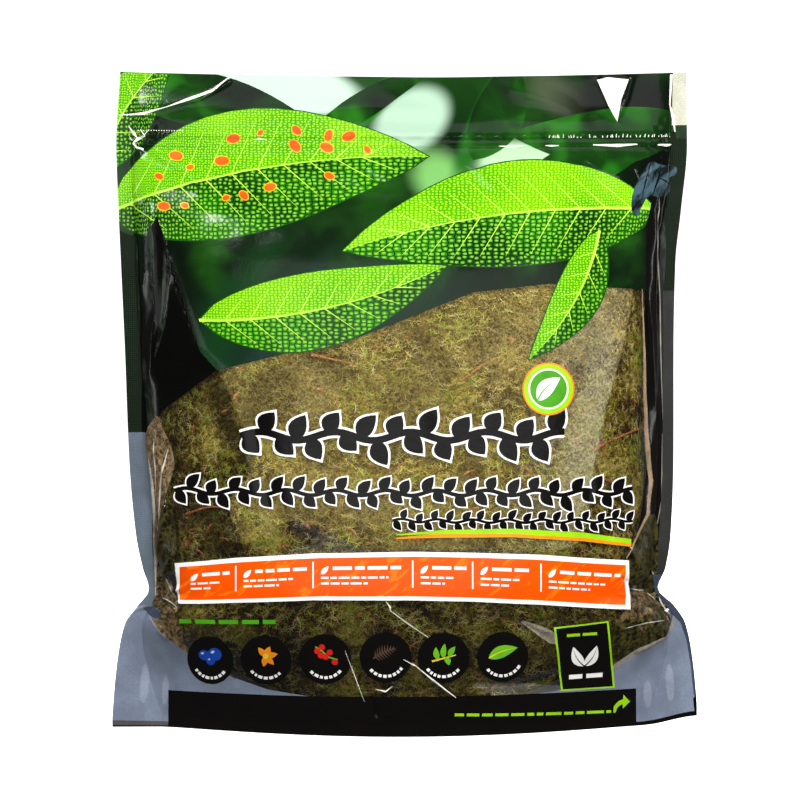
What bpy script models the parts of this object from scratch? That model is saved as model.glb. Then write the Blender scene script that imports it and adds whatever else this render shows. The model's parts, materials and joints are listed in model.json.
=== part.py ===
"""Stand-up zip pouch packed with folded sheets of dried moss.

Metres, +Z up. The printed front faces -Y, and the origin is on the floor below the middle.
Sizes below are in millimetres. Every piece is placed by the same few formulas: the outline of
the side seams, the depth of the filled pouch and the way its cross-section changes with height.
A place across the pouch is s, from -1 at the left seam to 1 at the right one.
"""

import math

import bmesh
import bpy
from mathutils import Vector, noise

MM = 0.001
COLLECTION = "moss_pouch"
FRONT = -1
BACK = 1

# The pouch as a whole
POUCH_HEIGHT = 381.0
TOP_DIP = 3.0
TOP_DIP_POWER = 8
TOP_LEAN = 24.0
LEAN_START = 100.0
LEAN_POWER = 1.5
SIDE_SEAL = 10.0
CORNER_SEAL = 32.0
CORNER_SEAL_HEIGHT = 70.0
CORNER_SEAL_POWER = 1.5
FOOT = 6.0

# Height, then distance from the middle to the left and to the right edge
OUTLINE = [
    (0.0, 170.5, 170.5),
    (25.0, 168.5, 169.0),
    (45.0, 166.0, 166.5),
    (60.0, 162.5, 163.0),
    (70.0, 155.5, 156.5),
    (80.0, 148.5, 147.0),
    (92.0, 152.0, 151.5),
    (112.0, 156.0, 154.5),
    (150.0, 159.5, 156.0),
    (220.0, 162.5, 156.5),
    (270.0, 165.0, 158.0),
    (300.0, 166.5, 161.5),
    (340.0, 168.0, 165.5),
    (POUCH_HEIGHT, 166.0, 165.5),
]

# Height, then how far each wall bulges from the seam's plane in the middle
BULGE = [
    (0.0, 38.0),
    (25.0, 42.0),
    (50.0, 46.0),
    (80.0, 48.0),
    (110.0, 43.5),
    (140.0, 40.0),
    (175.0, 37.5),
    (220.0, 35.0),
    (268.0, 30.0),
    (297.0, 22.5),
    (312.0, 14.5),
    (322.0, 8.8),
    (330.0, 5.2),
    (335.0, 4.0),
    (343.5, 3.6),
    (352.0, 3.6),
    (362.0, 2.4),
    (POUCH_HEIGHT, 1.6),
]

# Height, then the two powers in the cross-section (1 - |s|^first)^second
SECTION = [
    (0.0, 2.0, 1.25),
    (30.0, 2.0, 1.0),
    (60.0, 2.2, 0.55),
    (85.0, 2.4, 0.42),
    (300.0, 2.4, 0.42),
    (335.0, 5.0, 0.40),
    (POUCH_HEIGHT, 5.0, 0.40),
]

# Film walls
FILM = 0.5
HALF_GAP_AT_SEAM = 0.45
HALF_GAP_AT_FOOT = 1.6
GAP_BLEND = 12.0
PANEL_COLUMNS = 20
PANEL_ROWS = [
    0.0, 6.0, 16.0, 28.0, 41.0, 50.0, 57.0, 62.0, 66.0, 70.0, 75.0, 80.0, 86.0, 95.0,
    108.0, 128.0, 155.0, 188.0, 220.0, 246.0, 268.0, 286.0, 301.0, 315.0, 326.0,
    335.0, 343.5, 352.0, 362.0, POUCH_HEIGHT,
]

# Bottom gusset: its curved seal to the walls and its fold
GUSSET_FILM = 0.4
GUSSET_INSET = 1.0
GUSSET_HEM = 0.4
SEAL_MIDDLE = 8.0
SEAL_RISE = 53.0
SEAL_POWER = 2.4
FOLD_MIDDLE = 9.5
FOLD_RISE = 54.5
FOLD_POWER = 1.5
GUSSET_LEG_ROWS = 5
GUSSET_HALF_ROWS = 4

# Press-to-close zip
ZIP_HEIGHT = 343.5
ZIP_BAND = 16.0
ZIP_REACH = 0.88
ZIP_BASE_OUT = 2.4
ZIP_BASE_IN = 1.8
ZIP_RIB_REACH = 0.7
ZIP_RIB = 1.1
ZIP_PITCH = 6.0
ZIP_FRONT_RIB = -4.2
ZIP_BACK_RIB = -1.8

# Folded mats of moss, stacked from front to back
SHEETS = 5
CUBE = 2.0
SHEET_REACH = 0.965
SHEET_COLUMNS = 12
SHEET_ROWS = 10
SHEET_TOPS = [306.0, 315.0, 320.0, 316.0, 307.0]
SHEET_LIFT = 2.8
SHEET_GAP = 0.6
SHEET_SPREAD = 0.92
RIM_THICKNESS = 0.62
RIM_TOLERANCE = 0.01
SHEET_RAGGED = 3.0
SHEET_RAGS = 2.7
SHEET_WAVE = 0.035
SHEET_WAVES = 3.1
SHEET_WAVE_HEIGHT = 55.0
NOISE_STEP = 7.3

# Room between the mats and the walls: beside the window, and near the zip
WINDOW_ROOM = 4.0
ZIP_ROOM = 1.3
WINDOW_TOP = 250.0
ZIP_FOOT = 290.0

# Loose twigs against the window: distance from the middle, height, length, slope in degrees
TWIG_RADIUS = 0.8
TWIG_CLEARANCE = 1.0
TWIG_BEND = 0.05
TWIGS = [
    (122.0, 167.0, 34.0, 24.0),
    (-40.0, 212.0, 30.0, -18.0),
    (42.0, 208.0, 26.0, 35.0),
    (118.0, 142.0, 22.0, -30.0),
    (-112.0, 128.0, 28.0, 12.0),
    (-62.0, 86.0, 24.0, -8.0),
]
TWIG_POINTS = 8


def smooth_through(stations, column):
    """A smooth curve of one column of stations over height, with no overshoot between them."""
    heights = [row[0] for row in stations]
    values = [row[column] for row in stations]
    steps = [(values[i + 1] - values[i]) / (heights[i + 1] - heights[i]) for i in range(len(values) - 1)]
    slopes = [steps[0]]
    for before, after in zip(steps, steps[1:]):
        flat = before * after <= 0
        slopes.append(0.0 if flat else 2 * before * after / (before + after))
    slopes.append(steps[-1])

    def value(height):
        height = min(max(height, heights[0]), heights[-1])
        i = min(max(sum(h <= height for h in heights) - 1, 0), len(steps) - 1)
        span = heights[i + 1] - heights[i]
        t = (height - heights[i]) / span
        rise = values[i + 1] - values[i]
        first = slopes[i] * span - rise
        second = rise - slopes[i + 1] * span
        return values[i] + t * rise + t * (1 - t) * (first * (1 - t) + second * t)

    return value


left_edge = smooth_through(OUTLINE, 1)
right_edge = smooth_through(OUTLINE, 2)
bulge = smooth_through(BULGE, 1)
first_power = smooth_through(SECTION, 1)
second_power = smooth_through(SECTION, 2)


def edge(s, height):
    """How far the side edge is from the middle, on the side that s is on."""
    return left_edge(height) if s < 0 else right_edge(height)


def seal_width(height):
    """The side seal, which widens to the welded corners at the foot."""
    low = max(0.0, 1.0 - height / CORNER_SEAL_HEIGHT)
    return SIDE_SEAL + (CORNER_SEAL - SIDE_SEAL) * low**CORNER_SEAL_POWER


def lean(height):
    """How far the plane of the seams leans back."""
    above = max(0.0, height - LEAN_START) / (POUCH_HEIGHT - LEAN_START)
    return TOP_LEAN * above**LEAN_POWER


def seam_gap(height):
    """Half the distance between the walls at the seams, which hold the gusset as well at the foot."""
    blend = min(max((height - CORNER_SEAL_HEIGHT) / GAP_BLEND, 0.0), 1.0)
    return HALF_GAP_AT_FOOT + (HALF_GAP_AT_SEAM - HALF_GAP_AT_FOOT) * blend


def wall_point(side, s, height, inset=0.0):
    """A point of a film wall's middle surface, or of a surface that far inside it."""
    shaped = max(height, FOOT)
    across = edge(s, shaped) - seal_width(shaped) - inset
    section = max(0.0, 1.0 - abs(s) ** first_power(shaped)) ** second_power(shaped)
    depth = max(bulge(shaped) - inset, 0.0) * section
    return Vector((s * across, lean(shaped) + side * (seam_gap(shaped) + depth), height))


def columns_across(count):
    """Places across the pouch, closer together where the walls turn into the flanks."""
    return [math.sin(math.pi / 2 * (2 * i / count - 1)) for i in range(count + 1)]


def new_object(name, mesh, colour, roughness):
    """Links a mesh as a part with its own material."""
    material = bpy.data.materials.new(name)
    material.use_nodes = True
    shader = material.node_tree.nodes["Principled BSDF"]
    shader.inputs["Base Color"].default_value = (*colour, 1.0)
    shader.inputs["Roughness"].default_value = roughness
    shader.inputs["Metallic"].default_value = 0.0
    mesh.materials.append(material)
    part = bpy.data.objects.new(name, mesh)
    parts.objects.link(part)
    return part


def shaped_grid(name, columns, rows, place):
    """A grid primitive with each crossing moved to place(column, row)."""
    mesh = bpy.data.meshes.new(name)
    bm = bmesh.new()
    bmesh.ops.create_grid(bm, x_segments=columns, y_segments=rows, size=0.5)
    for vertex in bm.verts:
        column = round((vertex.co.x + 0.5) * columns)
        row = round((vertex.co.y + 0.5) * rows)
        vertex.co = place(column, row) * MM
    bm.to_mesh(mesh)
    bm.free()
    mesh.shade_smooth()
    return mesh


def add_wall_thickness(part, thickness):
    solidify = part.modifiers.new("Film", "SOLIDIFY")
    solidify.thickness = thickness * MM
    solidify.offset = 0.0


def film_panel(name, side, colour, roughness):
    """The front or back wall: one sheet from the foot to the mouth, with its side seals."""
    inner = columns_across(PANEL_COLUMNS)
    columns = [-1.0] + inner + [1.0]

    def place(column, row):
        s = columns[column]
        height = PANEL_ROWS[row]
        point = wall_point(side, s, height)
        if column in (0, len(columns) - 1):
            point.x = s * edge(s, max(height, FOOT))
        middle = 1.0 - (point.x / edge(s, height)) ** 2
        point.z -= TOP_DIP * middle * (height / POUCH_HEIGHT) ** TOP_DIP_POWER
        return point

    mesh = shaped_grid(name, len(columns) - 1, len(PANEL_ROWS) - 1, place)
    if side == BACK:
        mesh.flip_normals()
    part = new_object(name, mesh, colour, roughness)
    add_wall_thickness(part, FILM)
    return part


def seal_height(s):
    """Where the gusset's curved seal lets go of the walls."""
    return SEAL_MIDDLE + SEAL_RISE * abs(s) ** SEAL_POWER


def fold_height(s):
    """The height of the gusset's middle fold."""
    return FOLD_MIDDLE + FOLD_RISE * abs(s) ** FOLD_POWER


def gusset_height(s, share):
    """The gusset's height at a share of the way from its fold, 0, to the wall, 1."""
    rise = fold_height(s) - seal_height(s)
    return seal_height(s) + rise * math.sin(math.pi / 2 * (1.0 - share))


def bottom_gusset():
    """The folded bottom sheet: sealed inside both walls, and spread between them as a floor."""
    inner = columns_across(PANEL_COLUMNS)
    columns = [-1.0] + inner + [1.0]
    last = 2 * (GUSSET_LEG_ROWS + GUSSET_HALF_ROWS)

    def place(column, row):
        side = FRONT if row <= last // 2 else BACK
        step = row if side == FRONT else last - row
        s = columns[column]
        if step <= GUSSET_LEG_ROWS:
            height = GUSSET_HEM + (seal_height(s) - GUSSET_HEM) * step / GUSSET_LEG_ROWS
            point = wall_point(side, s, height, GUSSET_INSET)
            point.y -= side * GUSSET_INSET
        else:
            share = 1.0 - (step - GUSSET_LEG_ROWS) / GUSSET_HALF_ROWS
            point = wall_point(side, s, seal_height(s), GUSSET_INSET)
            point.y = (point.y - side * GUSSET_INSET) * share
            point.z = gusset_height(s, share)
        if column in (0, len(columns) - 1):
            point.x = s * edge(s, max(point.z, FOOT))
        return point

    mesh = shaped_grid("bottom_gusset", len(columns) - 1, last, place)
    part = new_object("bottom_gusset", mesh, (0.25, 0.29, 0.37), 0.35)
    add_wall_thickness(part, GUSSET_FILM)
    return part


def zip_track(name, side, first_rib):
    """Half of the zip: a flat band welded to one wall, with two ribs that close into the other half."""
    half = ZIP_BAND / 2
    outline = [(side * ZIP_BASE_OUT, -half), (side * ZIP_BASE_OUT, half), (side * ZIP_BASE_IN, half)]
    for rib in (1, 0):
        middle = first_rib + rib * ZIP_PITCH
        outline.append((side * ZIP_BASE_IN, middle + ZIP_RIB / 2))
        outline.append((-side * ZIP_RIB_REACH, middle + ZIP_RIB / 2))
        outline.append((-side * ZIP_RIB_REACH, middle - ZIP_RIB / 2))
        outline.append((side * ZIP_BASE_IN, middle - ZIP_RIB / 2))
    outline.append((side * ZIP_BASE_IN, -half))

    curve = bpy.data.curves.new(name, "CURVE")
    curve.dimensions = "2D"
    curve.fill_mode = "BOTH"
    reach = ZIP_REACH * (min(left_edge(ZIP_HEIGHT), right_edge(ZIP_HEIGHT)) - SIDE_SEAL)
    curve.extrude = reach * MM
    spline = curve.splines.new("POLY")
    spline.points.add(len(outline) - 1)
    for point, (depth, height) in zip(spline.points, outline):
        leaned = depth + lean(ZIP_HEIGHT + height)
        point.co = (leaned * MM, height * MM, 0.0, 1.0)
    spline.use_cyclic_u = True
    part = new_object(name, curve, (0.42, 0.44, 0.40), 0.3)
    part.rotation_euler = (math.pi / 2, 0.0, math.pi / 2)
    part.location = (0.0, 0.0, ZIP_HEIGHT * MM)
    return part


def sheet_face(boundary, s, height):
    """How deep a boundary between two mats is, from -1 at the front wall to 1 at the back."""
    share = 2.0 * boundary / SHEETS - 1.0
    if boundary in (0, SHEETS):
        return share
    place = Vector((s * SHEET_WAVES, boundary * NOISE_STEP, height / SHEET_WAVE_HEIGHT))
    return share + SHEET_WAVE * noise.noise(place)


def sheet_top(number, u):
    """The ragged upper rim of a mat."""
    place = Vector((u * SHEET_RAGS, number * NOISE_STEP, 0.0))
    return SHEET_TOPS[number] + SHEET_RAGGED * noise.noise(place)


def wall_room(height):
    """The room that the outer mats leave inside the walls."""
    low = min(max((ZIP_FOOT - height) / (ZIP_FOOT - WINDOW_TOP), 0.0), 1.0)
    return ZIP_ROOM + (WINDOW_ROOM - ZIP_ROOM) * low


def moss_sheet(number):
    """One folded mat of moss, which fills its share of the pouch from front to back.

    It starts as a cube from -1 to 1, with u across, w from front to back and v up.
    """
    name = f"moss_sheet_{number + 1}"
    mesh = bpy.data.meshes.new(name)
    bm = bmesh.new()
    bmesh.ops.create_cube(bm, size=CUBE)
    for axis, cuts in ((0, SHEET_COLUMNS - 1), (2, SHEET_ROWS - 1), (1, 1)):
        along = [e for e in bm.edges if abs(e.verts[0].co[axis] - e.verts[1].co[axis]) > CUBE / 2]
        bmesh.ops.subdivide_edges(bm, edges=along, cuts=cuts, use_grid_fill=True)
    for vertex in bm.verts:
        u, w, v = vertex.co
        on_rim = max(abs(u), abs(v)) > 1.0 - RIM_TOLERANCE
        s = SHEET_REACH * math.sin(math.pi / 2 * u * SHEET_SPREAD) / math.sin(math.pi / 2 * SHEET_SPREAD)
        share = (2.0 * number + 1.0 + w) / SHEETS - 1.0
        bottom = gusset_height(s, min(abs(share), 1.0)) + SHEET_LIFT
        height = bottom + (sheet_top(number, u) - bottom) * (v + 1.0) / 2.0
        front = sheet_face(number, s, height)
        back = sheet_face(number + 1, s, height)
        plump = RIM_THICKNESS if on_rim else 1.0
        share = (front + back) / 2.0 + (back - front) / 2.0 * w * plump
        side = FRONT if share < 0 else BACK
        wall = wall_point(side, s, height, wall_room(height))
        seam = lean(height)
        y = seam + abs(share) * (wall.y - seam)
        against_wall = (number == 0 and w < 0) or (number == SHEETS - 1 and w > 0)
        if not against_wall:
            y -= SHEET_GAP * w
        vertex.co = Vector((wall.x, y, height)) * MM
    bm.to_mesh(mesh)
    bm.free()
    mesh.shade_smooth()
    return new_object(name, mesh, (0.23, 0.19, 0.07), 0.9)


def twig(number, across, height, length, slope):
    """A dry twig that lies between the front mat and the window."""
    name = f"twig_{number + 1}"
    curve = bpy.data.curves.new(name, "CURVE")
    curve.dimensions = "3D"
    curve.bevel_depth = TWIG_RADIUS * MM
    curve.bevel_resolution = 2
    curve.use_fill_caps = True
    spline = curve.splines.new("POLY")
    spline.points.add(TWIG_POINTS - 1)
    angle = math.radians(slope)
    inset = FILM / 2 + TWIG_CLEARANCE + TWIG_RADIUS
    for i, point in enumerate(spline.points):
        along = length * (i / (TWIG_POINTS - 1) - 0.5)
        bend = TWIG_BEND * length * math.sin(math.pi * i / (TWIG_POINTS - 1))
        x = across + along * math.cos(angle) - bend * math.sin(angle)
        z = height + along * math.sin(angle) + bend * math.cos(angle)
        s = x / (edge(x, z) - seal_width(z) - inset)
        point.co = (*(wall_point(FRONT, s, z, inset) * MM), 1.0)
    return new_object(name, curve, (0.24, 0.10, 0.05), 0.7)


for old in list(bpy.data.objects):
    bpy.data.objects.remove(old, do_unlink=True)
parts = bpy.data.collections.new(COLLECTION)
bpy.context.scene.collection.children.link(parts)

film_panel("front_panel", FRONT, (0.15, 0.17, 0.06), 0.2)
film_panel("back_panel", BACK, (0.09, 0.11, 0.06), 0.2)
bottom_gusset()
zip_track("zip_front_track", FRONT, ZIP_FRONT_RIB)
zip_track("zip_back_track", BACK, ZIP_BACK_RIB)
for sheet in range(SHEETS):
    moss_sheet(sheet)
for index, (across, height, length, slope) in enumerate(TWIGS):
    twig(index, across, height, length, slope)
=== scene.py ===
"""Looks of a stand-up zip pouch packed with dried sheet moss.

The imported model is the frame, and every piece here stands in for one of its nodes or lies in it.
Metres, +Z up, and the printed front faces -Y. Sizes in the script are millimetres times MM.
A place on a film wall is given by its distance across the sheet and its height.
"""

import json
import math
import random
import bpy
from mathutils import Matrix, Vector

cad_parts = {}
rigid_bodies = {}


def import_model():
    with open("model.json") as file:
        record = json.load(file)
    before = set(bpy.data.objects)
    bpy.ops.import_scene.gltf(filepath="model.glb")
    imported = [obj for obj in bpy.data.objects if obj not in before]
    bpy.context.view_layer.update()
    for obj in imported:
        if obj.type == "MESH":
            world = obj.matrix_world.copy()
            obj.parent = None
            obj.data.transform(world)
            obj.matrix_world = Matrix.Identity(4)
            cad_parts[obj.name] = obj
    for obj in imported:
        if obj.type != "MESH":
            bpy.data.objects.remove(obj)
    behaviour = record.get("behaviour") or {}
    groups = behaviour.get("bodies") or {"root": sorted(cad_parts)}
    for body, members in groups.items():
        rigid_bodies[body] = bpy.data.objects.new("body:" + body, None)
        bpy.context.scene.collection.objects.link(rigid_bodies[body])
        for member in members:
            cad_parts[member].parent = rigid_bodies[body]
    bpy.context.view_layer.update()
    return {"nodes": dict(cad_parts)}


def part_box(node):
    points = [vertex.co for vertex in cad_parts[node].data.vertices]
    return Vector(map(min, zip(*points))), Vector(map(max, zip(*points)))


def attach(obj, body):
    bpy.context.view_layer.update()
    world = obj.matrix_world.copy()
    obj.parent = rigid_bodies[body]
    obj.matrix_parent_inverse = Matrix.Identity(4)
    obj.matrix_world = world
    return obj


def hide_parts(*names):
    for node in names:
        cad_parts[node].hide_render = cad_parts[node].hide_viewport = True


bl_info = {
    "name": "Moss Pouch Maker",
    "version": (1, 0, 0),
    "blender": (4, 5, 0),
    "location": "3D View > Sidebar > Moss Pouch",
    "description": "Makes the film walls, print, zip, gusset and moss of a stand-up pouch",
    "category": "Object",
}

import bpy
import numpy as np
from bpy.props import FloatProperty, FloatVectorProperty, IntProperty, PointerProperty
from mathutils import Vector
from mathutils.geometry import delaunay_2d_cdt
from mathutils.kdtree import KDTree

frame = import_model()

MM = 0.001
FRONT = -1
BACK = 1
BODY = "root"
WHITE = (1.0, 1.0, 1.0, 1.0)

# The form of the pouch, in millimetres
POUCH_HEIGHT = 381.0
TOP_DIP = 3.0
TOP_DIP_POWER = 8
TOP_LEAN = 24.0
LEAN_START = 100.0
LEAN_POWER = 1.5
SIDE_SEAL = 10.0
CORNER_SEAL = 32.0
CORNER_SEAL_HEIGHT = 70.0
CORNER_SEAL_POWER = 1.5
CORNER_RISE = 5.5
RISEN_CORNER = (137.0, 172.0)
RISEN_HEIGHT = 30.0
FOOT = 6.0

# Height, then the distance from the middle to the left and to the right edge
OUTLINE = [
    (0, 170.5, 170.5), (25, 168.5, 169), (45, 166, 166.5), (60, 162.5, 163), (70, 155.5, 156.5),
    (80, 148.5, 147), (92, 152, 151.5), (112, 156, 154.5), (150, 159.5, 156), (220, 162.5, 156.5),
    (270, 165, 158), (300, 166.5, 161.5), (340, 168, 165.5), (POUCH_HEIGHT, 166, 165.5),
]
# Height, then how far each wall bulges from the seam's plane in the middle
BULGE = [
    (0, 38), (25, 42), (50, 46), (80, 48), (110, 43.5), (140, 40), (175, 37.5), (220, 35), (268, 30),
    (297, 22.5), (312, 14.5), (322, 8.8), (330, 5.2), (335, 4), (343.5, 3.6), (352, 3.6), (362, 2.4),
    (POUCH_HEIGHT, 1.6),
]
# Height, then the two powers in the cross-section (1 - |s|^first)^second
SECTION = [
    (0, 2, 1.25), (30, 2, 1), (60, 2.2, 0.55), (85, 2.4, 0.42), (300, 2.4, 0.42), (335, 5, 0.4),
    (POUCH_HEIGHT, 5, 0.4),
]

# The flat film: half its width between the seals, and the gap to the other wall
SHEET_HALF = 147.0
SHEET_EDGE = SHEET_HALF + SIDE_SEAL
GAP_AT_SEAM = 0.12
GAP_AT_FOOT = 0.45
GAP_BLEND = 12.0

# Bottom gusset
SEAL_MIDDLE = 8.0
SEAL_RISE = 53.0
SEAL_POWER = 2.4
FOLD_MIDDLE = 9.5
FOLD_RISE = 54.5
FOLD_POWER = 1.5
HALF_WIDTH = 150.0
LEG_FOOT = 0.3
GUSSET_INSET = 0.25

# Zip: its height, the band that it takes up, and the height, width and rise of each line that it presses
ZIP_HEIGHT = 343.5
ZIP_BAND = (335.0, 348.5)
ZIP_RIB_PITCH = 6.0
ZIP_RIDGES = [(343.9, 1.5, 0.55), (338.2, 0.8, 0.4)]
ZIP_DOT_PITCH = 2.6

# The film's mesh: steps across and up the zip, the least room between corners and beside an outline, and
# the step along an outline
ZIP_MESH = (1.3, 0.75)
CORNER_ROOM = 0.55
OUTLINE_ROOM = 0.5
OUTLINE_STEP = 3.0

# Moss mats, and the room that they, the straws and the twigs leave behind the film
SHEETS = 5
SHEET_REACH = 0.965
SHEET_TOPS = [306.0, 315.0, 320.0, 316.0, 307.0]
SHEET_LIFT = 2.8
THINNEST_MAT = 0.3
STRAND_DEPTH = 2.6
EDGE_ROOM = 1.3
WINDOW_ROOM = 3.2
FILM_ROOM = 0.55
BIT_ROOM = 1.15
TWIG_ROOM = 1.35

# Where loose straws lie, and how thick a twig is
BITS_ACROSS = (-128, 130)
BITS_UP = (26, 232)
TWIG_RADIUS = 0.78

# A crease is a sharp fold or a soft dent. A fine one has corners of the mesh along it, so far apart, and
# beside it at these shares of its width
SHARP = True
SOFT = False
FINE_CREASE = 3.0
CREASE_STEP = 1.4
CREASE_SHARES = (-2.0, -1.0, -0.4, 0.0, 0.4, 1.0, 2.0)

# Where the moss starts and stops to fill the film, the free header above it, the pinch at either side, and
# the crushed end of the zip
FILLED_FROM = (6.0, 60.0)
FILLED_TO = (305.0, 335.0)
HEADER_FOOT = 350.0
PINCH = (143.0, 78.0)
ZIP_END = (152.0, 342.0)

# Size and shift of the table that soft noise is drawn from, and the seed of each wall
NOISE_CELLS = 97
NOISE_SHIFT = (31.7, 17.3)
WALL_SEEDS = {FRONT: 11, BACK: 47}

# Where a printed area ends that runs off the sheet
FAR = SHEET_EDGE + 20.0
BELOW = -5.0
ABOVE = POUCH_HEIGHT + 5.0

# How soon a printed leaf widens, how full its sides are, and how many slivers a crumple has
LEAF_BLUNT = 0.8
LEAF_FULL = 0.85
FACETS = 12

# Stage: reach (mm) and height of the floor, and where the lights and the camera look
FLOOR_REACH = 6000.0
FLOOR_HEIGHT = -0.2
LIGHT_AIM = (0.0, 0.0, 0.19)
CAMERA_AIM = (-0.003, 0.0, 0.1897)


def rgb(red, green, blue):
    """A screen colour in 0 to 255 as the linear colour that shaders use."""
    channels = (red, green, blue)
    return tuple(c / 255 / 12.92 if c <= 10 else ((c / 255 + 0.055) / 1.055) ** 2.4 for c in channels)


def ramp01(value, low, high):
    """0 below low, 1 above high, and an even S-curve between."""
    t = np.clip((value - low) / (high - low), 0.0, 1.0)
    return t * t * (3.0 - 2.0 * t)


def smooth_through(stations, column):
    """A smooth curve of one column of stations over height, with no overshoot between them."""
    heights = np.array([row[0] for row in stations])
    values = np.array([row[column] for row in stations])
    steps = np.diff(values) / np.diff(heights)
    product = steps[:-1] * steps[1:]
    total = steps[:-1] + steps[1:]
    inner = np.where(product > 0, 2 * product / np.where(product > 0, total, 1.0), 0.0)
    slopes = np.concatenate([steps[:1], inner, steps[-1:]])

    def value(height):
        height = np.clip(height, heights[0], heights[-1])
        i = np.clip(np.searchsorted(heights, height, side="right") - 1, 0, len(steps) - 1)
        span = heights[i + 1] - heights[i]
        t = (height - heights[i]) / span
        rise = values[i + 1] - values[i]
        first = slopes[i] * span - rise
        second = rise - slopes[i + 1] * span
        return values[i] + t * rise + t * (1 - t) * (first * (1 - t) + second * t)

    return value


left_edge = smooth_through(OUTLINE, 1)
right_edge = smooth_through(OUTLINE, 2)
bulge = smooth_through(BULGE, 1)
first_power = smooth_through(SECTION, 1)
second_power = smooth_through(SECTION, 2)


def edge(s, height):
    return np.where(s < 0, left_edge(height), right_edge(height))


def seal_width(height):
    low = np.maximum(0.0, 1.0 - height / CORNER_SEAL_HEIGHT)
    return SIDE_SEAL + (CORNER_SEAL - SIDE_SEAL) * low**CORNER_SEAL_POWER


def lean(height):
    above = np.maximum(0.0, height - LEAN_START) / (POUCH_HEIGHT - LEAN_START)
    return TOP_LEAN * above**LEAN_POWER


def seam_gap(height):
    blend = np.clip((height - CORNER_SEAL_HEIGHT) / GAP_BLEND, 0.0, 1.0)
    return GAP_AT_FOOT + (GAP_AT_SEAM - GAP_AT_FOOT) * blend


def wall_depth(s, height):
    """How far a wall stands out from the seam's plane."""
    section = np.maximum(0.0, 1.0 - np.abs(s) ** first_power(height)) ** second_power(height)
    return bulge(height) * section


def soft_noise(x, z, size, seed):
    """Smooth numbers from -1 to 1 over a plane, with features about that size."""
    table = np.random.default_rng(seed).uniform(-1.0, 1.0, (NOISE_CELLS, NOISE_CELLS))
    u = np.asarray(x) / size + NOISE_SHIFT[0]
    v = np.asarray(z) / size + NOISE_SHIFT[1]
    iu = np.floor(u).astype(int)
    iv = np.floor(v).astype(int)
    fu = u - iu
    fv = v - iv
    fu = fu * fu * (3 - 2 * fu)
    fv = fv * fv * (3 - 2 * fv)

    def corner(a, b):
        return table[(iu + a) % NOISE_CELLS, (iv + b) % NOISE_CELLS]

    low = corner(0, 0) * (1 - fu) + corner(1, 0) * fu
    high = corner(0, 1) * (1 - fu) + corner(1, 1) * fu
    return low * (1 - fv) + high * fv


class Crease:
    """A line where the film is folded: its route as seen from the front, its width and its rise."""

    def __init__(self, route, width, rise, sharp=SHARP, fade=0.25):
        self.route = np.array(route, float)
        self.width = width
        self.rise = rise
        self.sharp = sharp
        self.fade = fade
        steps = np.diff(self.route, axis=0)
        self.lengths = np.hypot(steps[:, 0], steps[:, 1])
        self.starts = np.concatenate([[0.0], np.cumsum(self.lengths)])

    def height(self, x, z):
        best = np.full(x.shape, 1e9)
        along = np.zeros(x.shape)
        for i, length in enumerate(self.lengths):
            ax, az = self.route[i]
            dx, dz = (self.route[i + 1] - self.route[i]) / length
            t = np.clip((x - ax) * dx + (z - az) * dz, 0.0, length)
            distance = np.hypot(x - ax - dx * t, z - az - dz * t)
            nearer = distance < best
            best = np.where(nearer, distance, best)
            along = np.where(nearer, self.starts[i] + t, along)
        u = along / self.starts[-1]
        taper = ramp01(u, 0.0, self.fade) * ramp01(1 - u, 0.0, self.fade)
        shape = np.exp(-best / self.width) if self.sharp else np.exp(-((best / self.width) ** 2))
        return self.rise * shape * taper

    def points(self):
        """Places along the line and beside it, where the mesh needs its corners."""
        spots = []
        for i, length in enumerate(self.lengths):
            direction = (self.route[i + 1] - self.route[i]) / length
            aside = np.array([-direction[1], direction[0]])
            for t in np.arange(0.0, length, CREASE_STEP):
                for share in CREASE_SHARES:
                    spots.append(self.route[i] + direction * t + aside * share * self.width)
        return np.array(spots)


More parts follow.
